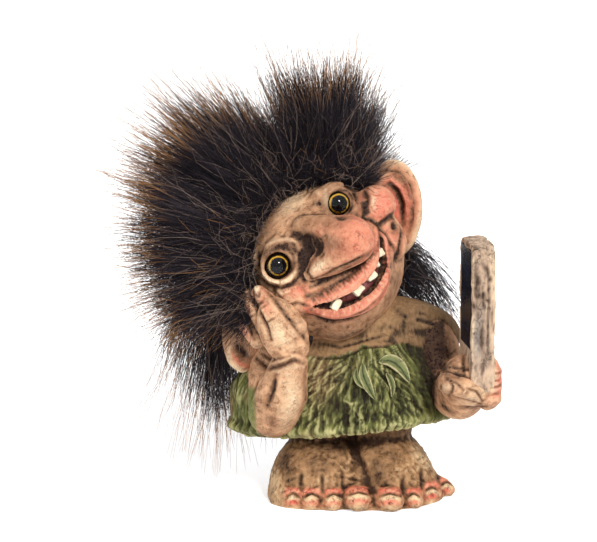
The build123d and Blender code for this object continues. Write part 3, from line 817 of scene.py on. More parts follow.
@dataclass
class Head:
    """The head casting: skull, face masses, mouth and eye sockets."""

    voxel: float = 0.52
    masses: tuple[tuple[Place, Place, float], ...] = (
        ((-14.1, 19.8, 18.6), (6.9, 4.2, 2.6), -20.0),
        ((16.8, 18.0, 19.2), (6.6, 4.5, 2.7), 22.0),
        ((-15.0, 22.8, 8.7), (5.1, 3.6, 1.5), 4.0),
        ((16.2, 22.2, 8.4), (4.5, 3.6, 1.5), -4.0),
        ((26.1, 15.0, 2.7), (7.5, 7.5, 7.5), 0.0),
        ((22.2, 15.0, -9.0), (5.1, 6.6, 9.0), 20.0),
        ((-18.6, 19.8, 1.2), (8.4, 6.0, 7.2), 0.0),
        ((0.6, 18.6, -8.4), (19.2, 11.4, 12.6), 0.0),
        ((-1.8, 12.6, -15.0), (19.8, 13.8, 12.0), -6.0),
    )
    nose: Limb = Limb(((0.6, 24.0, 16.8), (3.0, 29.4, 10.8), (7.2, 35.4, 4.2)), (4.5, 7.2, 9.0))
    wing: Limb = Limb(((-9.0, 29.1, 4.5), (-1.8, 32.4, 3.6), (7.2, 35.4, 3.0)), (3.9, 6.0, 8.7))
    upper_lip: Limb = Limb(
        ((-18.3, 23.7, -3.6), (-10.8, 28.5, -7.2), (-1.2, 31.5, -9.3), (7.8, 30.9, -8.7), (18.0, 23.4, -4.2)),
        (1.7, 2.4, 2.7, 2.5, 1.7),
    )
    lower_lip: Limb = Limb(
        ((-18.3, 23.1, -5.7), (-13.2, 27.0, -12.6), (-3.6, 30.0, -17.1), (6.0, 29.4, -16.2), (18.0, 23.1, -6.9)),
        (1.8, 2.7, 3.2, 3.0, 1.8),
    )
    mouth: Limb = Limb(
        ((-17.1, 25.4, -5.1), (-9.9, 28.2, -10.2), (-0.6, 29.3, -12.9), (7.8, 28.4, -11.7), (16.8, 25.2, -6.3)),
        (1.0, 2.9, 4.0, 3.6, 1.3),
    )
    # where the warm colour is sprayed: place, radius and strength
    warm: tuple[tuple[Place, float, float], ...] = (
        ((9, 37, 3), 12, 1.05), ((3, 34, 9), 9, 0.5), ((-7, 33, 3), 7, 0.35), ((27, 22, 3), 11, 0.95),
        ((22, 22, -10), 10, 0.6), ((-12, 30, -8), 6, 0.5),
    )
    # how far from each eye's middle its lid runs, and the lid's thickness
    lids: tuple[tuple[float, float], ...] = ((5.6, 0.85), (5.2, 1.0))
    marks: tuple[Mark, ...] = (
        # the hollow between the right eye and the nose, painted near-black as deep shade
        Mark(((301, 236), (310, 246), (319, 255)), 2.6, 2.4, wash_and_shade=1.0),
        Mark(((304, 246), (304, 262), (302, 276)), 2.2, 1.5, wash_and_shade=1.0),
        Mark(((308, 236), (316, 246), (310, 256)), 2.6, 0.6, wash_and_shade=1.0),
        # round the nose
        Mark(((307, 262), (306, 272), (312, 281), (322, 277)), 0.8, 0.8, wash_and_shade=0.9),
        Mark(((318, 279), (333, 271), (348, 265), (362, 258), (373, 252)), 1.0, 1.0, wash_and_shade=0.8),
        Mark(((310, 287), (322, 282), (340, 273), (354, 266), (368, 256)), 0.8, 0.6, wash_and_shade=0.6),
        Mark(((377, 226), (379, 238), (376, 250)), 0.8, 0.7, wash_and_shade=0.8),
        Mark(((318, 246), (324, 238), (322, 226)), 1.2, 0.5, wash_and_shade=0.35),
        Mark(((316, 240), (328, 243), (344, 248)), 3.6, wash_and_shade=0.6),
        Mark(((314, 226), (328, 224), (346, 229)), 3.2, wash_and_shade=0.42),
        Mark(((318, 258), (330, 256), (346, 258)), 2.8, wash_and_shade=0.3),
        Mark(((311, 272), (318, 266), (326, 260)), 2.2, -0.3, lift=0.7),
        # the right eye: brow, upper lid, lower lid, and its socket's dark surround, partly its own paint and partly
        # painted shade
        Mark(((262, 251), (274, 243), (289, 240), (299, 244)), 0.9, -1.0, wash_and_shade=0.35, lift=0.3),
        Mark(((261, 264), (267, 252), (280, 247), (293, 250), (300, 262)), 1.7, 0.4, wash_and_shade=1.0),
        Mark(ring(281.2, 262.2, 13.4), 0.7, wash_and_shade=1.0),
        Mark(((264, 276), (272, 281), (281, 283), (290, 280), (296, 272)), 0.7, -0.5, lift=0.75),
        Mark(((264, 258), (270, 249), (281, 245), (292, 247)), 0.5, -0.3, lift=0.5),
        Mark(((294, 246), (301, 258), (301, 272)), 1.3, 0.8, wash_and_shade=0.95),
        Mark(((300, 233), (309, 245), (309, 258)), 3.0, 1.0, wash_and_shade=1.0),
        Mark(((259, 276), (269, 285), (281, 288), (293, 284), (301, 274)), 0.6, 0.6, wash_and_shade=0.95),
        Mark(((253, 240), (253, 258), (256, 276)), 1.5, -0.5, lift=0.8),
        Mark(((259, 250), (260, 268)), 0.7, 0.5, wash_and_shade=0.8),
        # the left eye: brow, lids and the hollow beside the cheek, with its socket's dark surround partly its own paint
        # and partly painted shade
        Mark(ring(340.5, 203, 16.5), 2.0, wash_and_shade=0.5),
        Mark(((330, 214), (338, 219), (348, 219)), 1.2, 0.3, wash_and_shade=0.85),
        Mark(ring(340.5, 203, 11.2), 0.8, wash_and_shade=1.0),
        Mark(((322, 187), (331, 181), (345, 182), (358, 187)), 0.8, -0.9, lift=0.7),
        Mark(((325, 192), (326, 205), (332, 217)), 1.1, -0.7, lift=0.8),
        Mark(((332, 219), (341, 221), (351, 217)), 0.9, 0.4, wash_and_shade=0.6),
        Mark(((355, 190), (358, 203), (357, 214)), 1.0, -0.6, lift=0.3),
        Mark(((362, 189), (365, 200), (364, 212)), 1.3, 1.2, wash_and_shade=0.85),
        Mark(((366, 212), (362, 218), (368, 222)), 1.0, 0.6, wash_and_shade=0.8),
        Mark(((319, 197), (320, 206)), 1.8, -0.8),
        # cheek ball, smile hollow and the cheek's back edge
        Mark(((367, 220), (377, 226), (388, 218), (399, 213)), 0.8, 0.9, wash_and_shade=0.9),
        Mark(((394, 219), (393, 232)), 2.0, 2.2, wash_and_shade=1.0),
        Mark(((383, 231), (389, 240), (395, 247)), 0.9, -0.6, blush=0.8),
        Mark(((401, 208), (400, 235), (397, 252), (390, 266)), 0.9, 1.0, wash_and_shade=0.9),
        Mark(((372, 196), (370, 207), (371, 216)), 1.6, lift=0.5),
        # right cheek
        Mark(((274, 288), (281, 297), (286, 307), (297, 302), (308, 305)), 0.7, 0.7, wash_and_shade=0.8),
        Mark(((276, 292), (284, 291)), 2.5, -0.4, lift=0.5),
        Mark(((288, 292), (300, 290), (309, 292)), 2.6, blush=0.75),
        # forehead, with a broad painted highlight high on it
        Mark(((278, 214), (292, 202), (305, 196)), 4.0, lift=0.6),
        Mark(((258, 250), (262, 226), (276, 205)), 2.6, wash_and_shade=0.4),
        Mark(((292, 234), (304, 226), (314, 214)), 3.2, wash_and_shade=0.3),
        Mark(((266, 224), (284, 207), (304, 199)), 0.5, 0.09, wash_and_shade=0.2),
        Mark(((262, 238), (279, 222), (300, 211)), 0.5, 0.09, wash_and_shade=0.2),
        Mark(((283, 237), (299, 226), (318, 216)), 0.5, 0.09, wash_and_shade=0.2),
        Mark(((272, 232), (290, 219), (312, 206)), 0.4, 0.08, wash_and_shade=0.15),
        Mark(((306, 236), (318, 224), (324, 212)), 3.0, wash_and_shade=0.35),
        Mark(((262, 232), (258, 250)), 2.0, wash_and_shade=0.3),
        Mark(((310, 192), (318, 204), (322, 216)), 1.4, 0.1, wash_and_shade=0.4),
        # chin and jaw, with a painted shadow line under the chin
        Mark(((312, 324), (332, 327), (352, 325), (370, 315), (385, 298)), 3.4, wash_and_shade=0.42),
        Mark(((314, 333), (340, 336), (364, 330), (382, 315)), 2.2, wash_and_shade=0.75),
        Mark(((392, 262), (394, 282), (388, 302)), 2.4, wash_and_shade=0.5),
        Mark(((318, 284), (334, 276), (350, 268)), 1.8, wash_and_shade=0.45),
        Mark(((310, 309), (318, 317), (331, 320), (348, 318), (364, 310), (379, 296), (390, 278)), 0.7, 0.6, wash_and_shade=0.7),
    )

    def clay(self) -> Clay:
        """The head's masses, with the mouth and the sockets carved out, and lids round the sockets.

        Returns:
            The head's lump.
        """
        clay = Clay("troll_head")
        clay.ball((HEAD_RADIUS,) * 3, HEAD_CENTRE)
        for (side, forward, up), half_sizes, turn in self.masses:
            clay.ball(half_sizes, (side, -forward, up), turn, HEAD_FRAME)
        for limb in (self.nose, self.wing, self.upper_lip, self.lower_lip):
            clay.limb(on_head(limb.line), limb.radii)
        clay.skinned(0.9)
        hollow = Clay("mouth_and_sockets")
        hollow.limb(on_head(self.mouth.line), self.mouth.radii, 0.3)
        for across, forward, up in EYES.values():
            socket = on_head([(across, forward, up), (across, forward + 8, up)])
            hollow.limb(socket, (EYE_RADIUS + 0.1, EYE_RADIUS - 0.2))
        hollow.skinned(0.6)
        clay.carved(hollow)
        turns = [math.tau * k / 14 for k in range(15)]
        for (across, forward, up), (reach, thickness) in zip(EYES.values(), self.lids):
            lid = on_head((across + reach * math.cos(t), forward + 2.6, up + reach * math.sin(t)) for t in turns)
            clay.limb(lid, [thickness] * len(lid))
        return clay

    def wrinkles(self) -> list[Mark]:
        """Short fine wrinkles over the forehead, the right cheek, the chin and the cheek's back.

        Returns:
            A mark for each wrinkle.
        """
        chance = np.random.default_rng(31)
        marks = []
        for count, (left, top, right, bottom), lean in (
            (26, (256, 196, 318, 246), -0.7), (16, (270, 286, 308, 304), -0.4), (60, (300, 316, 386, 338), 0.1),
            (16, (384, 258, 396, 300), 1.3), (14, (364, 190, 396, 216), 0.6),
        ):
            for _ in range(count):
                start = np.array((chance.uniform(left, right), chance.uniform(top, bottom)))
                turn = lean + chance.normal() * 0.45
                way = np.array((math.cos(turn), math.sin(turn))) * chance.uniform(3, 9)
                bend = np.array((-way[1], way[0])) * chance.uniform(-0.3, 0.3)
                line = tuple(tuple(start + way * t + bend * math.sin(math.pi * t)) for t in (0, 0.5, 1))
                width, depth = chance.uniform(0.25, 0.42), chance.uniform(0.08, 0.2)
                marks.append(Mark(line, width, depth, wash_and_shade=chance.uniform(0.1, 0.35)))
        return marks

    def lip_marks(self) -> list[Mark]:
        """The fine creases across both lips.

        Returns:
            A mark for each crease.
        """
        upper = ((312, 301), (322, 296), (335, 289), (350, 278), (363, 266), (374, 250), (378, 243))
        lower = ((312, 306), (322, 311), (336, 312), (352, 305), (366, 295), (378, 282), (385, 266), (383, 250))
        crease = {"width": 0.38, "depth": 0.3, "wash_and_shade": 0.4}
        return creases(upper, 30, (3.5, 3.5), **crease) + creases(lower, 38, (4.0, 4.0), **crease)

    def build(self) -> None:
        """Sculpts, paints and places the head."""
        casting = self.clay().cast(self.voxel, 4)
        casting.raised(casting.rumpled(2.2, 0.14) + casting.rumpled(6.0, 0.25, seed=7.0))
        casting.sprayed((face(*place), radius, strength) for place, radius, strength in self.warm)
        for lip in (self.upper_lip, self.lower_lip):
            beads = thread(on_head(lip.line), lip.radii, 0.8)
            casting.sprayed((centre, radius * 1.7, 1.25) for centre, radius in beads)
        # darkens each eye socket inside its lid: the socket's own dark paint and painted shade in the recess
        for (across, forward, up), (reach, thickness) in zip(EYES.values(), self.lids):
            inner = casting.near(face(across, forward + 2, up), reach + thickness * 0.2)
            casting.lay(Coat.WASH, np.clip(inner * 2.2 - 0.5, 0, 1))
        backward = face(0, -1, 0) - face(0, 0, 0)
        for centre, radius in thread(on_head(self.mouth.line), self.mouth.radii, 0.6):
            casting.lay(Coat.WASH, 1.1 * casting.near(centre + backward * radius * 0.5, radius * 0.9))
        casting.marked([*self.marks, *self.wrinkles(), *self.lip_marks()])
        casting.washed_and_shaded()
        # painted shade on the neck, under the chin
        casting.lay(Coat.WASH, 0.7 * ramp(casting.co[:, 2], 62.5, 59.5))  # the neck
        dressed(casting.finished(), SKIN.made(), "skin", "head_shell")


@dataclass
class Feet:
    """Both feet in one casting, with eight toes and their nails."""

    voxel: float = 0.5
    width: float = 38.0
    length: float = 46.0
    instep: float = 22.0
    masses: tuple[tuple[float, ...], ...] = (
        (0.0, 0.06, 0.06, 0.53, 0.44, 1.12),
        (0.0, 0.27, 0.0, 0.52, 0.26, 0.64),
        (0.0, -0.10, 0.0, 0.46, 0.36, 0.90),
        (0.28, 0.12, 0.0, 0.26, 0.32, 0.72),
    )
    right_toes: tuple[Place, ...] = (
        (-0.29, 0.374, 3.24), (-0.116, 0.446, 3.6), (0.09, 0.476, 3.8), (0.337, 0.467, 5.4),
    )
    left_toes: tuple[Place, ...] = (
        (-0.184, 0.47, 5.2), (0.068, 0.485, 3.7), (0.355, 0.363, 3.4), (0.565, 0.287, 3.0),
    )
    # each toe's middle and upper edge on the front view's grid, and half its width there
    nails: tuple[tuple[float, float, float], ...] = (
        (293, 487, 7), (311.5, 487, 8.5), (333, 487, 9), (357.5, 485, 14),
        (388.5, 486, 13), (412, 487, 7), (430.5, 482, 7.5), (446, 478, 6.5),
    )
    marks: tuple[Mark, ...] = (
        Mark(((352, 438), (357, 455), (363, 470), (370, 486)), 1.6, 1.6, wash_and_shade=1.0),
        Mark(((300, 440), (340, 444), (380, 440), (400, 434)), 3.0, wash_and_shade=1.0),
        Mark(((292, 446), (284, 462), (292, 476)), 2.6, wash_and_shade=0.9),
        Mark(((300, 452), (318, 462), (334, 456)), 3.4, wash_and_shade=0.6),
        Mark(((372, 452), (378, 470), (372, 484)), 3.2, wash_and_shade=0.75),
        Mark(((392, 446), (388, 458)), 3.0, wash_and_shade=0.6),
        Mark(((276, 462), (273, 478), (278, 494)), 3.2, -0.2, lift=0.45),
        Mark(((408, 440), (420, 456), (434, 468)), 2.4, lift=0.6),
        Mark(((301, 470), (300, 484)), 0.9, 0.5, wash_and_shade=0.8),
        Mark(((322, 468), (322, 486)), 0.7, 0.4, wash_and_shade=0.6),
        Mark(((342, 470), (342, 486)), 0.7, 0.4, wash_and_shade=0.6),
        Mark(((402, 474), (401, 490)), 1.0, 0.6, wash_and_shade=0.9),
        Mark(((420, 468), (421, 486)), 0.9, 0.6, wash_and_shade=0.8),
        Mark(((436, 470), (438, 482)), 0.7, 0.4, wash_and_shade=0.6),
    )

    @staticmethod
    def over(nail: tuple[float, float, float], *points: Spot) -> Line:
        """A line over a nail, from half widths to its side and rows below its upper edge."""
        column, row, half = nail
        return tuple((column + half * side, row + down) for side, down in points)

    def nail_marks(self) -> list[Mark]:
        """Each toe's cuticle, nail and the warm paint round them.

        Returns:
            Five marks for each toe.
        """
        marks = []
        for nail in self.nails:
            marks += [
                Mark(self.over(nail, (-1, 5), (-0.6, 1), (0.6, 1), (1, 5)), 1.1, -0.45, blush=1.0),
                Mark(self.over(nail, (-0.8, 6), (0, 3), (0.8, 6)), 0.5, 0.5, wash_and_shade=0.85),
                Mark(self.over(nail, (-0.62, 9), (0, 6.5), (0.66, 8.5)), 0.8, -0.5, lift=1.0),
                Mark(self.over(nail, (-0.8, 13), (0, 11), (0.8, 12.5)), 1.5, blush=0.9),
                Mark(self.over(nail, (-0.5, 18), (0.5, 18)), 1.4, lift=0.5),
            ]
        return marks

    def build(self) -> None:
        """Sculpts, paints and places the feet."""
        frames = {
            Side.RIGHT: Matrix.Translation((-14.5, 0, 0)),
            Side.LEFT: Matrix.Translation((6.0, 0, 0)) @ Matrix.Rotation(math.radians(26.0), 4, "Z"),
        }
        clay = Clay("troll_feet")
        for side, frame in frames.items():
            outward = 1 if side is Side.LEFT else -1
            for out, forward, up, half_width, half_length, half_height in self.masses:
                clay.ball(
                    (half_width * self.width, half_length * self.length, half_height * self.instep),
                    (outward * out * self.width, -forward * self.length, up * self.instep),
                    frame=frame,
                )
            for across, forward, radius in self.left_toes if side is Side.LEFT else self.right_toes:
                place = (across * self.width, -forward * self.length, radius * 0.75)
                clay.ball((radius, radius * 1.5, radius * 0.9), place, frame=frame)
            clay.limb([frame @ Vector((0, 0, 6)), frame @ Vector((0, 0, 30))], (12.5, 12.5))
            if side is Side.LEFT:  # the foot's edge, which runs out to the small toe
                edge = ((12, -2, 4), (18, -9, 3), (20.5, -12.5, 2.6))
                clay.limb([frame @ Vector(place) for place in edge], (7, 4.6, 3.4))
        clay.skinned(0.9)
        sliced(clay.bm, (0, 0, 0), (0, 0, -1))
        casting = clay.cast(self.voxel, 3)
        curls = np.abs(casting.rumpled(2.6, 1.0, (1.4, 1.4, 1), 5.0)) - 0.25
        casting.raised(0.55 * curls * ramp(casting.co[:, 2], 5, 9) + casting.rumpled(1.3, 0.16))
        casting.lay(Coat.WASH, 0.55 * ramp(casting.co[:, 2], 15, 27))
        casting.marked([*self.marks, *self.nail_marks()])
        casting.washed_and_shaded(1.1)
        casting.co[:, 2] = np.maximum(casting.co[:, 2], 0.0)
        dressed(casting.finished(), FEET.made(), "feet_paint", "feet_casting")


@dataclass
class Body:
    """The tunic casting: mossy dome, shoulders and a ragged hem."""

    voxel: float = 0.52
    seam: float = 28.0
    lean: float = 5.5
    # a brown patch of the moss and the painted shadow behind the raised fist: middle and spread on the front view's
    # grid
    brown: tuple[Spot, Spot] = ((318, 374), (15, 26))
    fist_shade: tuple[Spot, Spot] = ((440, 362), (27, 50))
    neckline: Line = (
        (200, 358), (320, 355), (326, 357), (331.6, 352.6), (337.8, 355), (343, 353), (349, 350), (355, 350),
        (361, 343), (366, 344.4), (371.4, 346.4), (378.6, 346), (386.7, 344), (402, 342), (416, 346), (436, 352),
        (470, 356),
    )
    marks: tuple[Mark, ...] = (
        Mark(((324, 396), (338, 404), (350, 418)), 3.2, 0.6, wash_and_shade=0.85),
        Mark(((348, 384), (360, 392), (368, 402)), 3.0, 0.6, wash_and_shade=0.85),
        # painted shadow down the tunic's right side, behind the fist
        Mark(((429, 330), (432, 352), (430, 384), (438, 408)), 4.4, 0.8, wash_and_shade=1.0),
        Mark(((446, 324), (452, 346)), 3.6, wash_and_shade=0.9),
        Mark(((404, 302), (430, 307), (456, 318)), 2.0, -0.5, lift=0.55),
        Mark(((392, 306), (404, 316), (400, 330), (392, 338)), 1.9, 0.8, wash_and_shade=0.75),
        Mark(((386, 322), (394, 330), (388, 340)), 1.4, 0.5, wash_and_shade=0.6),
        Mark(((410, 312), (424, 312), (440, 320)), 1.2, 0.5, wash_and_shade=0.6),
        Mark(((398, 336), (412, 330), (428, 332), (446, 342)), 2.2, 0.7, wash_and_shade=0.85),
        Mark(((372, 330), (382, 326), (392, 328)), 1.6, 0.3, wash_and_shade=0.5),
        Mark(((414, 322), (430, 326), (448, 334)), 1.0, -0.5, lift=0.4),
        Mark(((406, 326), (418, 318), (434, 322), (452, 334)), 1.6, 0.8, wash_and_shade=0.95),
        Mark(((410, 336), (424, 334), (440, 344)), 3.4, 0.5, wash_and_shade=0.95),
        Mark(((404, 346), (416, 352), (424, 364)), 3.0, 0.3, wash_and_shade=0.7),
        Mark(((318, 342), (340, 346), (362, 340), (384, 334)), 0.6, 0.4, wash_and_shade=0.6),
        Mark(((320, 432), (334, 428)), 1.2, -0.5, lift=1.0),
        Mark(((382, 424), (396, 421)), 1.3, -0.5, lift=1.0),
        Mark(((264, 396), (274, 420), (268, 436)), 3.0, blush=0.35, lift=0.5),
        Mark(((284, 384), (292, 408), (290, 430)), 2.6, lift=0.5),
        Mark(((317, 360), (324, 384)), 4.2, blush=0.9),
        Mark(((338, 362), (332, 384)), 3.4, blush=0.7),
        Mark(((356, 356), (344, 372)), 2.4, blush=0.6, wash_and_shade=0.3),
        Mark(((320, 357), (340, 356), (352, 352), (362, 346), (386, 345)), 0.5, 0.7, wash_and_shade=1.0),
        # the carved twig under the leaves
        Mark(((342, 397), (349, 401), (358, 400)), 0.5, -0.6, lift=1.0),
        Mark(((350, 402), (348, 412), (350, 422)), 0.5, -0.6, lift=1.0),
        Mark(((352, 404), (357, 412)), 0.5, -0.5, lift=0.9),
        Mark(((346, 405), (340, 414)), 0.5, -0.5, lift=0.8),
        Mark(((344, 402), (344, 424)), 0.5, 0.5, wash_and_shade=0.8),
        Mark(((355, 404), (355, 424)), 0.5, 0.5, wash_and_shade=0.8),
    )

    def grooves(self) -> list[Mark]:
        """The long hairy grooves and ridges that fan down from the leaves' stems.

        Returns:
            A mark for each.
        """
        chance = np.random.default_rng(12)
        marks = []
        for _ in range(230):
            turn = math.radians(chance.uniform(-72, 72))
            start = chance.uniform(12, 62)
            length = chance.uniform(9, 24)
            line = []
            for k in range(4):
                away = start + length * k / 3
                bend = turn * (1 - 0.10 * away / 60) + chance.uniform(-0.05, 0.05)
                line.append((362 + 1.25 * away * math.sin(bend), 352 + 1.05 * away * math.cos(bend)))
            if chance.random() < 0.58:
                marks.append(Mark(tuple(line), chance.uniform(0.3, 0.5), 0.5, wash_and_shade=chance.uniform(0.5, 1.0)))
            else:
                marks.append(Mark(tuple(line), chance.uniform(0.22, 0.4), -0.35, lift=chance.uniform(0.2, 0.6)))
        return marks

    def clay(self) -> Clay:
        """The dome, the shoulders, the hem and the neck, cut off along the leaning hem.

        Returns:
            The tunic's lump.
        """
        clay = Clay("troll_tunic")
        clay.ball(DOME_HALF_SIZES, DOME_CENTRE)
        clay.ball((33, 15, 15), (3.5, 5, 59))
        clay.ball((45.6, 26.6, 6), (-5, 2, 30.5), -self.lean)
        clay.limb([(-10, 2, 55), (-13, 2, 66)], (16, 14))
        clay.skinned(1.0)
        outward = Matrix.Rotation(math.radians(-self.lean), 3, "Y") @ Vector((0, 0, -1))
        sliced(clay.bm, (0, 0, self.seam), outward)
        return clay

    def build(self) -> None:
        """Sculpts, paints and places the tunic."""
        casting = self.clay().cast(self.voxel, 3)
        column, row = front(casting.co).T
        bare = np.clip((np.interp(column, *zip(*self.neckline)) - row) / 2.5 + 0.5, 0, 1)
        # the moss hangs in strands: its lumps are long down the slope
        turn = np.arctan2(casting.co[:, 0], -(casting.co[:, 1] - 2))
        spun = np.stack((turn * 26, casting.co[:, 2] * 0.18, casting.co[:, 1] * 0.1), axis=1)
        strands = np.array(
            [noise.noise(Vector(place) * 0.75) + 0.6 * noise.noise(Vector(place) * 1.9) for place in spun]
        )
        casting.raised((0.75 * strands + casting.rumpled(5.0, 0.5, (1, 1, 2), 3.0)) * (1 - 0.8 * bare))
        x, y, z = casting.co.T
        casting.lay(Coat.WASH, np.clip(-strands * 1.6 - 0.25, 0, 0.8) * (1 - bare))
        casting.lay(Coat.LIFT, np.clip(strands * 1.2 - 0.2, 0, 0.32) * (1 - bare))
        hem = (z - self.seam - x * math.tan(math.radians(self.lean))) / 1.6
        casting.lay(Coat.LIFT, 0.85 * np.exp(-(hem**2)))
        casting.lay(Coat.OTHER, bare)
        casting.lay(Coat.OTHER, 0.75 * np.clip(casting.rumpled(9.0, 2.4, (1, 1, 1.4), 21.0) - 0.35, 0, 1) * (x < -18))
        casting.lay(Coat.OTHER, 0.8 * patch(column, row, *self.brown) * (y < 0))
        casting.lay(Coat.WASH, (0.22 + 0.32 * ramp(column, 385, 405)) * bare)
        # painted shadow behind the raised fist
        casting.lay(Coat.WASH, np.clip(2.0 * patch(column, row, *self.fist_shade) * (y < 8) - 0.3, 0, 0.95))
        casting.marked([*self.marks, *self.grooves()])
        casting.washed_and_shaded(0.9)
        dressed(casting.finished(), TUNIC.made(), "tunic_moss", "torso_shell")


@dataclass
class Leaves:
    """Four small pointed leaves laid on the tunic, each with a midrib and a curled edge."""

    thickness: float = 1.3
    along: int = 26  # faces from a leaf's stem to its tip
    wide: int = 10  # faces across it
    # each leaf's spine on the front view's grid and half its width in millimetres
    spines: tuple[tuple[Line, float], ...] = (
        (((361, 363), (362, 374), (367, 386), (373, 397)), 1.7),
        (((377, 361), (388, 360), (398, 367), (406, 381)), 2.1),
        (((355, 368), (355, 375), (358, 381), (364, 387)), 1.1),
        (((384, 372), (388, 378), (390, 386), (389, 394)), 1.0),
    )

    def on_dome(self, column: float, row: float, lift: float) -> Vector:
        """The place over the tunic's dome that the front view shows at a column and a row.

        Args:
            column: on the front view's grid.
            row: on it, too.
            lift: millimetres outwards from the dome.

        Returns:
            The place, in millimetres.
        """

        def from_dome(place: Vector) -> list[tuple[float, float]]:
            """How far the place is from the dome's centre, and the dome's half size, along each axis."""
            return [(a - c, half) for a, c, half in zip(place, DOME_CENTRE, DOME_HALF_SIZES)]

        near, far = -45.0, 5.0
        for _ in range(30):
            middle = (near + far) / 2
            inside = sum((away / half) ** 2 for away, half in from_dome(at(column, row, middle))) < 1
            near, far = (near, middle) if inside else (middle, far)
        place = at(column, row, near)
        return place + Vector([away / half**2 for away, half in from_dome(place)]).normalized() * lift

    def sheet(self, bm: bmesh.types.BMesh, spine: Line, half_width: float, top: bool) -> list[bmesh.types.BMVert]:
        """One side of a leaf.

        Args:
            bm: gets the side's faces, and has the layer for their paint.
            spine: the leaf's middle, on the front view's grid.
            half_width: half its greatest width, in millimetres.
            top: whether it is the upper side.

        Returns:
            The vertices round its border, in order.
        """
        paint = bm.verts.layers.float_color["Paint"]
        line = [place for place, _ in thread([(*spot, 0) for spot in spine], [1.0] * len(spine), 0.9)]
        rows = []
        for i in range(self.along + 1):
            t = i / self.along
            index = min(int(t * (len(line) - 1)), len(line) - 2)
            run = line[index + 1] - line[index]
            here = line[index] + run * (t * (len(line) - 1) - index)
            sideways = Vector((-run.y, run.x, 0)).normalized()
            half = half_width / GRID * max(0.03, math.sin(math.pi * t**0.85) ** 0.75)
            row = []
            for j in range(self.wide + 1):
                u = 2 * j / self.wide - 1
                # cupped, ribbed, curled at its edges and lifted at its tip
                lift = 1.0 + 0.7 * u**2 + 0.6 * t**3 - 0.45 * math.exp(-((u / 0.16) ** 2))
                lift += 0.12 * math.sin(t * 34 - 7 * abs(u)) * (1 - abs(u)) if top else -self.thickness
                spot = here + sideways * (u * half)
                vert = bm.verts.new(self.on_dome(spot.x, spot.y, lift))
                rib = math.exp(-((u / 0.14) ** 2))
                vert[paint] = (min(1.0, 0.9 * rib + 0.15), 0.0, 0.9 * abs(u) ** 6 + 0.15, 0.0)
                row.append(vert)
            rows.append(row)
        for first, second in zip(rows, rows[1:]):
            for j in range(self.wide):
                bm.faces.new((first[j], first[j + 1], second[j + 1], second[j]))
        return [row[0] for row in rows] + rows[-1][1:] + [row[-1] for row in rows[-2::-1]] + rows[0][-2:0:-1]

    def build(self) -> None:
        """Shapes, paints and places the leaves."""
        bm = bmesh.new()
        bm.verts.layers.float_color.new("Paint")
        for spine, half_width in self.spines:
            upper, lower = (self.sheet(bm, spine, half_width, top) for top in (True, False))
            for k, corner in enumerate(upper):
                n = (k + 1) % len(upper)
                bm.faces.new((corner, upper[n], lower[n], lower[k]))
        dressed(moulded("chest_leaf_set", bm), LEAF.made(), "leaf_green", "chest_leaves")


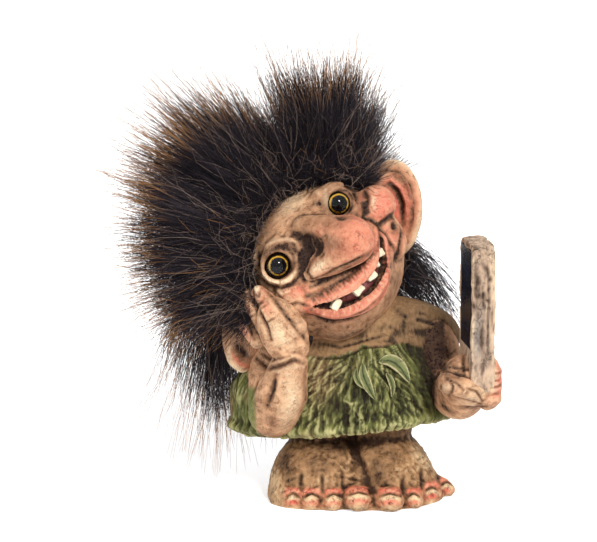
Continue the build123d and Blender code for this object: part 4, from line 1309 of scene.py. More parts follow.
@dataclass
class Arms:
    """Both arm castings, each with its hand."""

    voxel: float = 0.5
    fingers: tuple[tuple[Place, Place], ...] = (
        ((-25, -31.5, 70), (-37.6, -25, 81)), ((-33, -29, 67), (-42.4, -19, 80.6)), ((-38, -24, 64), (-45, -16, 73)),
    )
    right_marks: tuple[Mark, ...] = (
        Mark(((253, 286), (254, 300), (262, 314), (269, 327), (272, 338)), 0.7, 1.3, wash_and_shade=1.0),
        Mark(((240, 296), (245, 310), (249, 322), (255, 338)), 0.7, 1.1, wash_and_shade=1.0),
        # painted shade along the hand's edge, where it lies against the cheek
        Mark(((262, 283), (273, 295), (283, 309), (297, 328), (311, 343)), 0.9, 0.5, wash_and_shade=0.85),
        # nails
        Mark(((257, 284), (258.5, 293)), 1.4, -0.5, lift=1.0),
        Mark(((253.5, 284), (255, 294), (260, 296), (262, 288)), 0.45, 0.5, wash_and_shade=0.9),
        Mark(((243, 285), (245, 291)), 1.6, -0.4, lift=0.8),
        Mark(((238.5, 286), (241, 294), (248, 294)), 0.45, 0.5, wash_and_shade=0.9),
        # knuckles and the creases across them
        Mark(((258, 304), (264, 301)), 0.35, 0.35, wash_and_shade=0.7),
        Mark(((260, 308), (267, 304)), 0.35, 0.35, wash_and_shade=0.7),
        Mark(((247, 313), (254, 309)), 0.35, 0.35, wash_and_shade=0.7),
        Mark(((249, 318), (256, 313)), 0.35, 0.35, wash_and_shade=0.7),
        Mark(((266, 322), (276, 316)), 0.4, 0.4, wash_and_shade=0.6),
        Mark(((262, 298), (272, 312)), 2.0, blush=0.5),
        Mark(((243, 300), (249, 316)), 1.6, blush=0.85),
        Mark(((242, 322), (251, 336)), 1.6, blush=0.7),
        # a painted highlight on the palm
        Mark(((275, 322), (288, 344)), 3.4, -0.3, lift=0.6),
        # wrist and forearm
        Mark(((257, 357), (268, 365.5), (281.5, 363), (295, 357), (304, 360.6)), 0.9, 1.3, wash_and_shade=1.0),
        Mark(((262, 352), (272, 358), (288, 354)), 0.6, 0.5, wash_and_shade=0.6),
        Mark(((275.5, 372.7), (273, 387), (268, 402)), 1.1, 1.3, wash_and_shade=1.0),
        Mark(((290, 372), (293, 396), (284, 422)), 3.2, -0.3, lift=0.6),
        Mark(((304, 368), (306, 392), (300, 418)), 1.2, wash_and_shade=0.6),
        Mark(((262, 430), (280, 436), (298, 430)), 1.4, wash_and_shade=0.55),
        Mark(((268, 410), (276, 424)), 1.6, wash_and_shade=0.4),
    )
    left_marks: tuple[Mark, ...] = (
        # thumb nail, thumb, and the cracks of the closed fist
        Mark(((441.8, 374.2), (445, 378), (447.4, 382.5), (446.5, 388), (444.4, 392.6)), 0.5, 0.7, wash_and_shade=0.95),
        Mark(((440.5, 379), (441, 388)), 1.7, -0.4, lift=0.7),
        Mark(((436.5, 378), (436, 386), (440, 392)), 0.4, 0.4, wash_and_shade=0.9),
        Mark(((442.3, 375.2), (451.5, 379), (457.7, 386)), 0.5, 0.7, wash_and_shade=0.9),
        Mark(((461.7, 384.4), (470.9, 387.4), (476.5, 397)), 0.4, 0.8, wash_and_shade=1.0),
        Mark(((460.5, 389), (461, 389.6)), 0.5, 0.4, wash_and_shade=1.0),
        Mark(((451, 367), (455, 375)), 2.0, 0.4, wash_and_shade=0.8),
        Mark(((446, 364), (456, 365), (468, 366.5)), 0.8, 0.9, wash_and_shade=1.0),
        Mark(((459, 352), (458, 362), (459, 372)), 0.7, 0.7, wash_and_shade=0.9),
        Mark(((444, 345), (446, 355), (453, 350)), 0.7, 0.6, wash_and_shade=0.8),
        Mark(((455.6, 402.8), (468.4, 404.8), (481, 402.8)), 0.6, 0.6, wash_and_shade=0.8),
        Mark(((437, 395), (440, 404), (450, 411)), 1.0, 0.6, wash_and_shade=0.9),
        Mark(((494, 352), (495, 370), (493, 386), (487, 398)), 2.0, blush=1.0),
        Mark(((484, 384), (492, 383), (498, 380)), 0.5, 0.5, wash_and_shade=0.7),
        Mark(((484, 370), (492, 370), (498, 368)), 0.5, 0.5, wash_and_shade=0.6),
        # a painted highlight on the fist's front
        Mark(((481, 368), (483, 384)), 3.4, -0.2, lift=0.9),
        Mark(((460, 394), (474, 400)), 2.6, lift=0.5),
        # sleeve and elbow, with painted shadow down the upper arm behind the fist
        Mark(((436, 322), (440, 350), (436, 384)), 5.0, wash_and_shade=1.0),
        Mark(((420, 306), (440, 311), (456, 319)), 2.0, -0.4, lift=0.6),
        Mark(((432, 411), (445, 417), (456, 418)), 1.6, lift=0.5),
        Mark(((430, 420), (444, 423)), 0.8, 0.4, wash_and_shade=0.7),
    )

    def right(self) -> Clay:
        """Upper arm, bent elbow, forearm and the open hand against the cheek.

        Returns:
            The arm's lump.
        """
        clay = Clay("troll_right_arm")
        clay.limb([(-33, -4, 55), (-32.5, -18, 35.5)], (9.0, 9.5))
        clay.limb([(-32.5, -18, 35.5), (-29.5, -25, 44), (-26.5, -30, 57)], (9.5, 9.4, 6.4))
        clay.ball((8.5, 5.5, 13.5), (-29, -30, 68), -24.0)
        for index, (root, tip) in enumerate(self.fingers):
            middle = (Vector(root) + Vector(tip)) / 2
            clay.limb([root, middle, tip], (3.5 * (1.35 - 0.15 * index), 3.85, 3.0))
        return clay

    def left(self) -> Clay:
        """Upper arm, elbow, forearm and the fist with its thumb and curled fingers.

        Returns:
            The arm's lump.
        """
        clay = Clay("troll_left_arm")
        clay.limb([(25, 3, 58), (31.5, -6, 41)], (9.5, 8.8))
        clay.limb([(31.5, -6, 41), (35, -17, 41), (37.5, -25, 46)], (8.8, 8.6, 8.4))
        clay.ball((11, 10.5, 10), (38.2, -26.5, 49))
        clay.limb([(43, -34, 46.5), (36, -37.5, 49), (29.5, -35, 50.5)], (3.7, 3.7, 3.7))
        for step in (-1, 0, 1):
            clay.ball((4.2, 6.4, 3.2), (45.5, -31.75, 49 + step * 4.8))
        clay.limb([(44.6, -31, 43.4), (45.2, -31.75, 49), (44.9, -31, 55.2)], (4.2, 4.7, 4.0))
        return clay

    def build(self) -> None:
        """Sculpts, paints and places the arms."""
        for clay, node, marks in (
            (self.right(), "right_arm", self.right_marks), (self.left(), "left_arm", self.left_marks),
        ):
            casting = clay.cast(self.voxel, 4)
            casting.raised(casting.rumpled(2.4, 0.16) + casting.rumpled(1.1, 0.1, seed=9.0))
            column, row = front(casting.co).T
            if node == "right_arm":
                sleeve = ramp(column - (row - 400) * 0.05, 258, 254) * (row > 385)
                casting.sprayed((tip, 6, 0.55) for _, tip in self.fingers)
            else:
                sleeve = ramp(casting.co[:, 1], -4, 0) * ramp(casting.co[:, 2], 56, 53)
                # painted shadow on the upper arm, behind the raised fist
                shade = ramp(column, 446, 442) * ramp(row, 316, 322)
                shade *= 1 - ramp(column, 432, 436) * ramp(row, 368, 373)
                casting.lay(Coat.WASH, 0.97 * shade)
            casting.lay(Coat.OTHER, casting.blurred(sleeve, 4)[:, 0])
            casting.marked(marks)
            casting.washed_and_shaded()
            dressed(casting.finished(), SKIN.made(), "skin", node)


@dataclass
class Ears:
    """The big left ear and the right one under the hand."""

    voxel: float = 0.45
    left_marks: tuple[Mark, ...] = (
        Mark(
            (
                (362, 178), (372, 165), (388, 160), (404, 164), (417, 178), (422, 198), (419, 222), (411, 246),
                (400, 261),
            ),
            1.3, -0.5, lift=0.75,
        ),
        Mark(((372, 178), (384, 171), (398, 174), (409, 186), (413, 204), (411, 224), (406, 242)), 1.1, 0.9, wash_and_shade=0.65),
        Mark(((378, 184), (390, 180), (400, 188), (406, 201), (406, 218)), 1.2, -1.5, blush=1.0),
        Mark(((388, 184), (396, 192), (401, 206), (402, 224)), 1.0, 0.6, wash_and_shade=0.5),
        Mark(((368, 184), (376, 176)), 1.8, 1.2, wash_and_shade=1.0),
        Mark(((404, 244), (399, 256)), 1.4, 0.5, wash_and_shade=0.5),
    )
    right_marks: tuple[Mark, ...] = (
        Mark(((230.6, 345), (229.4, 360.6), (241.5, 369), (256, 374)), 1.0, -0.5, lift=0.9),
        Mark(((236, 342), (242, 350), (250, 358)), 2.2, 1.2, wash_and_shade=1.0),
        Mark(((234, 352), (240, 362), (250, 366)), 0.8, blush=0.8),
    )

    def build(self) -> None:
        """Sculpts, paints and places the ears."""
        left = Clay("troll_left_ear")
        centre = face(31.8, 0.6, -5.1)
        left.ball((11, 5.5, 18.5), centre)
        toward = (HEAD_CENTRE - centre).normalized()
        left.limb([centre + Vector((0, 2.75, 0)), centre + toward * 16], (5, 5))
        left.skinned(0.8)
        bowl = Clay("ear_bowl")
        bowl.ball((8, 5.5, 15.5), centre + Vector((0, -5.5, 0)))
        bowl.skinned(0.8)
        left.carved(bowl)
        right = Clay("troll_right_ear")
        right.ball((7.5, 5.5, 14), face(-39.9, -0.9, 2.1))
        for clay, node, marks in ((left, "left_ear", self.left_marks), (right, "right_ear", self.right_marks)):
            casting = clay.cast(self.voxel, 3)
            casting.raised(casting.rumpled(2.4, 0.14))
            if node == "left_ear":
                casting.sprayed([(centre + Vector((0, -2, 2)), 12, 1.1)])
            casting.marked(marks)
            casting.washed_and_shaded(0.75)
            dressed(casting.finished(), SKIN.made(), "skin", node)


@dataclass
class Mouth:
    """The gum plate and five loose-set teeth."""

    gum: Limb = Limb(
        ((-10.8, 24.0, -9.3), (-3.0, 26.4, -12.0), (4.8, 26.1, -12.0), (11.4, 23.4, -8.7)), (1.8, 2.7, 2.7, 1.8)
    )
    tooth_depth: float = 5.0
    teeth: tuple[tuple[Place, float, tuple[float, float]], ...] = (
        ((-11.4, 27.4, -10.2), -14.0, (4.4, 2.8)),
        ((-2.4, 30.0, -11.4), -4.0, (4.2, 3.8)),
        ((4.6, 29.4, -11.2), 6.0, (4.0, 3.8)),
        ((9.2, 28.2, -10.2), 14.0, (1.9, 2.6)),
        ((12.8, 26.6, -8.4), 20.0, (3.6, 3.0)),
    )

    def build(self) -> None:
        """Sculpts, paints and places the gum and the teeth."""
        gum = Clay("troll_gum")
        gum.limb(on_head(self.gum.line), self.gum.radii)
        casting = gum.cast(0.45, 3)
        casting.sprayed([(face(0, 30, -10), 7, 0.7)])
        casting.washed_and_shaded()
        dressed(casting.finished(), GUM.made(), "mouth_flesh", "gum_plate")
        teeth = Clay("troll_teeth")
        for (across, forward, up), turn, (width, height) in self.teeth:
            frame = HEAD_FRAME @ Matrix.Translation((across, -forward, up))
            frame = frame @ Matrix.Rotation(math.radians(turn), 4, "Y")
            bevelled(teeth.bm, cuboid(teeth.bm, (width, self.tooth_depth, height), frame), 0.55, 3)
        casting = teeth.cast(0.28, 2)
        casting.raised(casting.rumpled(1.6, 0.25))
        casting.washed_and_shaded(0.7)
        dressed(casting.finished(), IVORY.made(), "tooth_cream", "teeth")


@dataclass(frozen=True)
class EyeGlass:
    """Lamp-worked glass: colourless, polished, with a bright small reflection."""

    name: str = "clear_eye_glass"

    def made(self) -> bpy.types.Material:
        """Builds the material: clear straight through, mirror-like by its Fresnel share.

        Returns:
            The material.
        """
        shading = Shading(bpy.data.materials.new(self.name))
        sheen = shading.add("Fresnel", {"IOR": 1.3}).outputs[0]
        clear = shading.add("BsdfTransparent", {"Color": (0.98, 0.99, 1.0, 1.0)}).outputs[0]
        gloss = shading.add("BsdfGlossy", {"Color": (1.0, 1.0, 1.0, 1.0), "Roughness": 0.06}).outputs[0]
        return shading.surface(shading.add("MixShader", {0: sheen, 1: clear, 2: gloss}))


@dataclass(frozen=True)
class IrisPaint:
    """Enamel on the back of the glass: black pupil, deep blue-black iris and a thin, broken gold ring."""

    name: str = "iris_enamel"
    pupil: str = "#050506"
    iris: str = "#10141F"
    gold: str = "#D9A93A"
    rim: str = "#120E0C"

    def made(self) -> bpy.types.Material:
        """Builds the material, which reads each point's place in the eye, in eye radii, from an attribute.

        Returns:
            The material.
        """
        shading = Shading(bpy.data.materials.new(self.name))
        place = shading.add("Attribute", attribute_name="EyePlace").outputs["Vector"]
        flat = shading.vectors("MULTIPLY", place, (1.0, 1.0, 0.0)).outputs[0]
        away = shading.vectors("LENGTH", flat).outputs["Value"]
        streak = shading.clouds(flat, 5.0, 4.0, 0.7).outputs["Fac"]
        edge = shading.maths("ADD", away, shading.maths("MULTIPLY", streak, 0.10), clamp=False)
        ramp = shading.add("ValToRGB", {0: edge})
        stops = (
            (0.0, self.pupil), (0.44, self.pupil), (0.47, self.iris), (0.62, self.iris), (0.65, self.gold),
            (0.72, self.gold), (0.76, self.rim), (1.0, self.rim),
        )
        while len(ramp.color_ramp.elements) < len(stops):
            ramp.color_ramp.elements.new(0.5)
        for element, (position, colour) in zip(ramp.color_ramp.elements, stops):
            element.position = position
            element.color = linear(colour)
        gap = shading.ranged(shading.clouds(flat, 3.2, 5.0, 0.75).outputs["Fac"], 0.47, 0.60)
        return shading.painted(shading.mixed(gap, ramp.outputs[0], self.rim), 0.6, Specular_IOR_Level=0.0)


@dataclass
class Eyes:
    """Two glass domes, each over its painted iris."""

    def dome(self, name: str, place: Place, radius: float, cut: float) -> bpy.types.Object:
        """A closed dome on the head, looking forward, with each vertex's place in the eye as an attribute.

        Args:
            name: the piece's name.
            place: the eye's centre, on the tilted head.
            radius: the dome's, in millimetres.
            cut: how far before the centre its flat back lies.

        Returns:
            The dome.
        """
        bm = bmesh.new()
        bmesh.ops.create_uvsphere(bm, u_segments=64, v_segments=40, radius=radius)
        sliced(bm, (0, 0, cut), (0, 0, -1), 0.1 * CUT_GAP)
        layer = bm.verts.layers.float_vector.new("EyePlace")
        for vert in bm.verts:
            vert[layer] = vert.co / EYE_RADIUS
        turn = HEAD_FRAME.to_3x3().to_4x4() @ Matrix.Rotation(math.radians(90.0), 4, "X")
        bmesh.ops.transform(bm, matrix=Matrix.Translation(face(*place)) @ turn, verts=bm.verts)
        return moulded(name, bm)

    def build(self) -> None:
        """Makes and places both eyes."""
        glass, paint = EyeGlass().made(), IrisPaint().made()
        for side, place in EYES.items():
            iris = self.dome(f"{side.value}_iris_paint", place, EYE_RADIUS - 0.25, -0.6)
            dressed(iris, paint, "iris_paint", f"{side.value}_eye_iris")
            dome = self.dome(f"{side.value}_glass_dome", place, EYE_RADIUS + 0.05, 1.2)
            dressed(dome, glass, "eye_glass", f"{side.value}_eye_glass")


@dataclass(frozen=True)
class PlainFinish:
    """One plain material of the real piece: its colour, a second tone in its grain, and its gloss."""

    name: str
    colour: str
    second: str
    roughness: float
    grain: float  # millimetres
    stretch: tuple[float, float, float] = (1.0, 1.0, 1.0)
    metallic: float = 0.0
    ior: float = 1.45
    relief: float = 0.03  # millimetres

    def made(self) -> bpy.types.Material:
        """Builds the material.

        Returns:
            The material.
        """
        shading = Shading(bpy.data.materials.new(self.name))
        grain = shading.clouds(shading.drawn(self.stretch), 1 / (self.grain * MM), 4.0).outputs["Fac"]
        colour = shading.mixed(shading.ranged(grain, 0.38, 0.62), linear(self.colour), self.second)
        normal = shading.bumped(grain, self.relief)
        return shading.painted(colour, self.roughness, Metallic=self.metallic, IOR=self.ior, Normal=normal)


# black gloss enamel over a smooth inset, faintly blue where it catches the light
GLOSS = PlainFinish("black_gloss_enamel", "#0A0B10", "#182034", 0.2, 5.0, ior=1.2, relief=0.01)
# the wig's backing: dark brown knitted cotton, fuzzy with cut pile
KNIT = PlainFinish("dark_knit_backing", "#1B1516", "#2B2220", 0.95, 0.5, relief=0.2)
# birch dowel, pale and straight-grained
DOWEL = PlainFinish("birch_dowel", "#D2B68A", "#BC9C6C", 0.6, 0.6, stretch=(1, 1, 8))
# bright drawn steel wire
WIRE = PlainFinish("drawn_steel_wire", "#B6B8BC", "#9A9CA0", 0.3, 0.4, metallic=1.0, relief=0.005)


@dataclass
class Slab:
    """The held slab: rough bark with a smooth, glossy inset."""

    voxel: float = 0.42
    frame: Matrix = field(
        default_factory=lambda: Matrix.Translation((40.8, -26.5, 72.5)) @ Matrix.Rotation(math.radians(9.0), 4, "Z")
    )
    sizes: Place = (8.4, 24.0, 57.0)
    corner: float = 5.0
    # the recess for the screen and the screen in it: middle and sizes, in the slab's frame
    recess: tuple[Place, Place] = ((-4.6, 0, 7.9), (3.2, 18.8, 36.0))
    screen: tuple[Place, Place] = ((-3.55, 0, 7.9), (1.3, 18.6, 35.8))
    knots: tuple[float, ...] = (23.9, 10.3, -1.1, -11.4)
    marks: tuple[Mark, ...] = (
        Mark(((461, 243), (462, 256)), 2.4, 0.5, wash_and_shade=1.0),
        Mark(((466, 246), (470, 252)), 1.2, 0.4, wash_and_shade=0.6),
        Mark(((470, 274), (470, 301)), 1.5, 0.4, wash_and_shade=0.85),
        Mark(((474, 262), (478, 270)), 0.9, 0.3, wash_and_shade=0.55),
        Mark(((472, 291), (475, 299)), 2.2, 0.3, wash_and_shade=0.95),
        Mark(((468, 266), (470, 280), (469, 298)), 1.3, 0.3, wash_and_shade=0.9),
        Mark(((464, 300), (467, 306), (466, 312)), 1.0, 0.3, wash_and_shade=0.8),
        Mark(((472, 310), (471, 335), (472, 362)), 2.4, 0.2, blush=0.9),
        Mark(((476, 320), (475, 350)), 0.8, 0.4, wash_and_shade=0.7),
        Mark(((465, 282), (465, 289)), 1.2, -0.3, lift=1.0),
        Mark(((466.5, 258), (466.5, 280)), 0.45, -0.3, lift=1.0),
        Mark(((466, 300), (466.5, 330), (466, 358)), 0.4, -0.2, lift=0.6),
        Mark(((486, 250), (488, 290), (488, 340)), 1.6, lift=0.5),
        Mark(((481, 262), (482, 300), (481, 350)), 0.5, 0.4, wash_and_shade=0.55),
        Mark(((486, 300), (485, 330)), 0.5, 0.4, wash_and_shade=0.5),
        Mark(((478, 241), (478.4, 242)), 0.6, 0.6, wash_and_shade=1.0),
        Mark(((483.6, 277), (483.6, 281)), 0.5, 0.6, wash_and_shade=1.0),
        Mark(((480, 299), (480.4, 300)), 0.5, 0.6, wash_and_shade=0.9),
        Mark(((481.6, 307), (482, 308)), 0.5, 0.6, wash_and_shade=0.9),
        Mark(((488, 322), (487, 330)), 0.6, 0.5, wash_and_shade=0.8),
    )

    def build(self) -> None:
        """Sculpts, paints and places the slab and its screen."""
        clay = Clay("bark_slab")
        edges = cuboid(clay.bm, self.sizes, self.frame)
        across = self.frame.to_3x3() @ Vector((1, 0, 0))
        corners = [e for e in edges if abs((e.verts[0].co - e.verts[1].co).normalized().dot(across)) > 0.9]
        bevelled(clay.bm, corners, self.corner, 8)
        for up in self.knots:
            clay.ball((2.2, 1.54, 3.96), (-2.8, -12.0, up), frame=self.frame)
        clay.skinned(0.8)
        recess = Clay("screen_recess")
        middle, sizes = self.recess
        cuboid(recess.bm, sizes, self.frame @ Matrix.Translation(middle))
        clay.carved(recess)
        casting = clay.cast(self.voxel, 3)
        bark = casting.rumpled(1.8, 0.35, (1, 1, 3.5)) + casting.rumpled(1.0, 0.18, (1, 1, 2), 4.0)
        casting.raised(bark + casting.rumpled(6.0, 0.4))
        casting.marked(self.marks)
        casting.washed_and_shaded()
        dressed(casting.finished(), STONE.made(), "slab_bark", "phone_slab")
        bm = bmesh.new()
        middle, sizes = self.screen
        bevelled(bm, cuboid(bm, sizes, self.frame @ Matrix.Translation(middle)), 0.35, 3)
        dressed(moulded("inset_screen", bm, smooth=False), GLOSS.made(), "screen_gloss", "phone_screen")


def dress_hidden_nodes() -> None:
    """Gives the pieces that stay as the frame's own solids their real materials."""
    for material, names in (
        (KNIT.made(), ("scalp_cap",)),
        (DOWEL.made(), ("neck_peg", "leg_pegs", "arm_pegs")),
        (WIRE.made(), ("left_eye_shank", "right_eye_shank")),
    ):
        for name in names:
            solid = bpy.data.objects[name]
            solid.data.materials.clear()
            solid.data.materials.append(material)


@dataclass(frozen=True)
class Lock:
    """One lock of the wig: the line down its middle, in millimetres, and its half width at the root and at the tip."""

    line: tuple[Place, ...]
    root: float = 6.0
    tip: float = 4.5

    @cached_property
    def beads(self) -> np.ndarray:
        """Places close together along the smoothed line."""
        return np.array([place for place, _ in thread(self.line, [2.5] * len(self.line), 0.5)])

    @cached_property
    def way(self) -> np.ndarray:
        """The direction from the root to the tip."""
        run = np.array(self.line[-1]) - np.array(self.line[0])
        return run / np.linalg.norm(run)

    def swept(self, steps: np.ndarray) -> np.ndarray:
        """Places along the line, also past its end, for shares of its length.

        Args:
            steps: shares of the line's length, past its end from 1 on.

        Returns:
            A place for each share, in millimetres.
        """
        where = np.linspace(0, 1, len(self.beads))
        inside = np.clip(steps, 0, 1)
        places = np.stack([np.interp(inside, where, self.beads[:, axis]) for axis in range(3)], axis=-1)
        onward = (self.beads[-1] - self.beads[-3]) / (where[-1] - where[-3])
        return places + np.clip(steps - 1, 0, None)[..., None] * onward


@dataclass(frozen=True)
class Round:
    """One round of the fringe, along the hairline."""

    count: int
    first: float  # degrees: where the round starts
    step: float  # degrees between locks
    radius: float  # millimetres from the head's middle
    forward: float  # millimetres
    root: float  # millimetres: a lock's half width at its root
    short: bool = False


@dataclass(frozen=True)
class Growth:
    """How one kind of strand grows."""

    length: tuple[float, float]  # shares of the lock's length
    bend: float = 3.4  # millimetres
    curl: float = 0.9  # millimetres
    spread: float = 1.0  # of the lock's half width at its tip


WISP = Growth((1.05, 1.42), bend=4.5, spread=1.5)  # stands out of the pile
SHORT = Growth((0.45, 0.95))
LONG = Growth((0.82, 0.99))
FLYAWAY = Growth((0.82, 0.99), bend=8.0, curl=2.2)
# the strands' shades: the dark ones' greatest, then the ranges of the pale and of the ginger-tipped ones
DARK_MOST, PALE_SHADES, GINGER_SHADES = 0.61, (0.63, 0.71), (0.73, 1.0)


@dataclass
class Fur:
    """Long-pile faux fur in locks: strands as tapering triangular threads."""

    points: int = 6  # along each strand
    sides: int = 3  # round it
    width: float = 0.12  # millimetres: half the width at the root, drawn thicker than the real 0.05 so that it shows
    seed: int = 7
    hairline: float = 13.6  # millimetres forward of the head's centre
    thick: tuple[int, int] = (215, 150)
    thin: tuple[int, int] = (105, 75)
    per_piece: int = 6000  # strands in a piece, at most
    # the second round is short, right at the forehead's edge
    rounds: tuple[Round, ...] = (
        Round(34, 24.0, 4.4, 29.0, 9.2, 2.2), Round(40, 22.0, 3.8, 28.4, 11.6, 1.8, short=True),
    )
    # the strands stay inside this box, in millimetres
    lowest: tuple[float, float, float] = (-99.9, -40.0, 5.0)
    highest: tuple[float, float, float] = (60.0, 73.0, 171.8)
    # degrees of the front view and how far the dense pile stands there from the head's centre, in millimetres
    outline: tuple[tuple[float, float], ...] = (
        (40, 42), (52, 52), (63, 64), (75, 75), (88, 74), (105, 71), (111, 63), (118, 69), (130, 82), (150, 83),
        (161, 79), (174, 73), (190, 66), (207, 63), (229, 68), (242, 74), (262, 50),
    )
    # rows of standing locks: degrees towards the back and their share of the outline's reach
    rows: tuple[tuple[float, float], ...] = (
        (-12, 0.93), (2, 1.0), (15, 1.0), (28, 1.04), (42, 0.98), (58, 0.84), (74, 0.74),
    )
    # hanging locks, in head radii from the head's centre
    fall: tuple[tuple[Place, ...], ...] = (
        ((-0.82, 0.20, -0.30), (-1.30, 0.14, -0.62), (-1.46, 0.08, -1.18), (-1.56, 0.08, -1.84)),
        ((-0.78, 0.40, -0.20), (-1.42, 0.34, -0.30), (-1.70, 0.30, -0.80), (-1.86, 0.26, -1.30)),
        ((-0.66, 0.44, -0.55), (-1.16, 0.48, -1.00), (-1.30, 0.50, -1.55), (-1.28, 0.42, -2.20)),
        ((-0.52, 0.72, -0.40), (-0.84, 0.95, -0.95), (-0.90, 1.02, -1.50), (-0.86, 0.96, -1.95)),
        ((-0.84, 0.10, -0.20), (-1.10, 0.02, -0.70), (-1.16, 0.00, -1.30), (-1.14, 0.00, -1.95)),
        ((-0.90, 0.16, -0.10), (-1.50, 0.10, -0.36), (-1.78, 0.10, -0.86), (-1.90, 0.10, -1.30)),
        ((-0.80, 0.30, -0.30), (-1.22, 0.30, -0.80), (-1.34, 0.30, -1.40), (-1.40, 0.26, -2.05)),
    )
    nape: tuple[tuple[Place, ...], ...] = (
        ((0.60, 0.62, 0.20), (1.10, 0.60, -0.06), (1.42, 0.54, -0.40), (1.64, 0.50, -0.78)),
        ((0.62, 0.52, 0.02), (1.06, 0.48, -0.26), (1.30, 0.44, -0.60), (1.46, 0.42, -0.92)),
        ((0.40, 0.84, -0.10), (0.86, 0.80, -0.46), (1.20, 0.72, -0.82), (1.36, 0.66, -1.14)),
        ((0.04, 0.94, -0.20), (0.30, 1.10, -0.72), (0.44, 1.14, -1.16), (0.50, 1.10, -1.60)),
        ((-0.30, 0.92, -0.20), (-0.30, 1.16, -0.76), (-0.32, 1.20, -1.30), (-0.34, 1.14, -1.78)),
        ((0.20, 0.92, -0.10), (0.56, 1.00, -0.60), (0.80, 0.98, -1.04), (0.92, 0.92, -1.44)),
        ((-0.14, 0.96, -0.10), (0.00, 1.14, -0.66), (0.06, 1.18, -1.16), (0.08, 1.14, -1.66)),
    )

    def reach(self, angle: float) -> float:
        """How far the dense pile stands from the head's centre at an angle of the front view."""
        return float(np.interp(angle, *zip(*self.outline)))

    @staticmethod
    def patch(angle: float) -> str:
        """The patch of the wig that stands at an angle of the front view."""
        return "fur_crown" if angle < 111 else "fur_temple" if angle < 153 else "fur_side"

    def fringe(self, chance: random.Random) -> list[tuple[str, Lock]]:
        """Short, untidy locks rooted close together along the hairline.

        Args:
            chance: for each lock's length and lean.

        Returns:
            Each lock, after its patch's name.
        """
        locks = []
        turned = HEAD_FRAME.to_3x3()
        for band in self.rounds:
            for step in range(band.count):
                turn = math.radians(band.first + step * band.step)
                out = Vector((math.cos(turn), 0, math.sin(turn)))
                root = HEAD_FRAME @ (out * band.radius + Vector((0, -band.forward, 0)))
                seen = math.degrees(turn) + HEAD_TILT
                length = self.reach(seen) * chance.uniform(0.62, 0.95) - HEAD_RADIUS
                length = chance.uniform(7, 15) if band.short else length
                lean = Vector((chance.uniform(-0.12, 0.12), chance.uniform(-0.12, 0.3), chance.uniform(-0.1, 0.1)))
                tip = root + (turned @ (out + lean)).normalized() * length
                middle = (root + tip) / 2 + turned @ Vector((0, -2.5, 0))
                locks.append((self.patch(seen), Lock((tuple(root), tuple(middle), tuple(tip)), band.root, 5.5)))
        return locks

    def standing(self, chance: random.Random) -> list[tuple[str, Lock]]:
        """The locks that stand off the crown, the side and the back of the head, row behind row.

        Args:
            chance: for each lock's place, lean and length.

        Returns:
            Each lock, after its patch's name.
        """
        locks = []
        for back, share in self.rows:
            step = 8.6 / max(0.35, math.cos(math.radians(back)))
            angle = (58.0 if back < 28 else 46.0) + chance.uniform(0, step)
            while angle < 208:
                ear_side = angle < 80 and back < 20
                parting = 107.5 < angle < 114 and back < 40
                if not ear_side and not parting:
                    lean = back + chance.uniform(-4, 4)
                    way = direction(angle + chance.uniform(-3, 3), lean)
                    reach = self.reach(angle) * share * chance.uniform(0.9, 1.05)
                    sag = Vector((chance.uniform(-2, 2), chance.uniform(-2, 2), -0.05 * (reach - 30)))
                    middle = HEAD_CENTRE + way * (30.5 + (reach - 30.5) * 0.5) - sag * 0.3
                    line = (tuple(HEAD_CENTRE + way * 30.5), tuple(middle), tuple(HEAD_CENTRE + way * reach + sag))
                    name = "fur_back" if back > 40 else self.patch(angle)
                    locks.append((name, Lock(line, 6.2, 5.8)))
                angle += step
        for back in (22, 40, 58):  # short ones behind the left ear
            for angle in range(-16, 50, 11):
                way = direction(angle, back)
                line = tuple(
                    tuple(HEAD_CENTRE + way * reach + Vector((0, drop, -drop)))
                    for reach, drop in ((30, 0), (33.5, 1), (35.5, 5))
                )
                locks.append(("fur_nape", Lock(line, 5.5, 4.5)))
        return locks

    def locks(self) -> dict[str, list[Lock]]:
        """Every lock, by the patch of the wig that it belongs to.

        Returns:
            Each patch's locks.
        """
        chance = random.Random(self.seed)
        patches: dict[str, list[Lock]] = {}
        for name, lock in self.standing(chance) + self.fringe(chance):
            patches.setdefault(name, []).append(lock)
        for name, table in (("fur_fall", self.fall), ("fur_nape", self.nape)):
            for line in table:
                for _ in range(2):
                    stray = Vector([chance.uniform(-3, 3) for _ in range(3)])
                    points = [HEAD_CENTRE + Vector(point) * HEAD_RADIUS for point in line]
                    swept = tuple(tuple(point + stray * (k / 3)) for k, point in enumerate(points))
                    patches.setdefault(name, []).append(Lock(swept, 5.5, 4.0))
        return patches

    def strand(self, lock: Lock, tone: float, chance: np.random.Generator) -> tuple[np.ndarray, float] | None:
        """One strand of a lock.

        Args:
            lock: the lock that it grows in.
            tone: what the lock adds to its strands' shades.
            chance: for its place, length, bend and shade.

        Returns:
            The places along it, in millimetres, and its shade. None where it would leave the wig or its box.
        """
        steps = np.linspace(0, 1, self.points)
        kind = chance.random()
        growth = WISP if kind < 0.15 else SHORT if kind < 0.5 else FLYAWAY if kind > 0.94 else LONG
        length = chance.uniform(*growth.length)
        aim = chance.normal(size=3)
        aim -= aim.dot(lock.way) * lock.way
        aim /= np.linalg.norm(aim)
        out = math.sqrt(chance.random())
        spread = lock.root + (lock.tip * growth.spread - lock.root) * steps
        line = lock.swept(steps * length) + aim * out * spread[:, None]
        bend = chance.normal(size=3) * growth.bend
        curl = chance.normal(size=3) * growth.curl
        line = line + bend * (steps**2)[:, None] + curl * np.sin(steps * math.tau)[:, None]
        forward = -(INTO_HEAD[1, :3] @ line[0] + INTO_HEAD[1, 3])
        if forward > self.hairline or (line < self.lowest).any() or (line > self.highest).any():
            return None
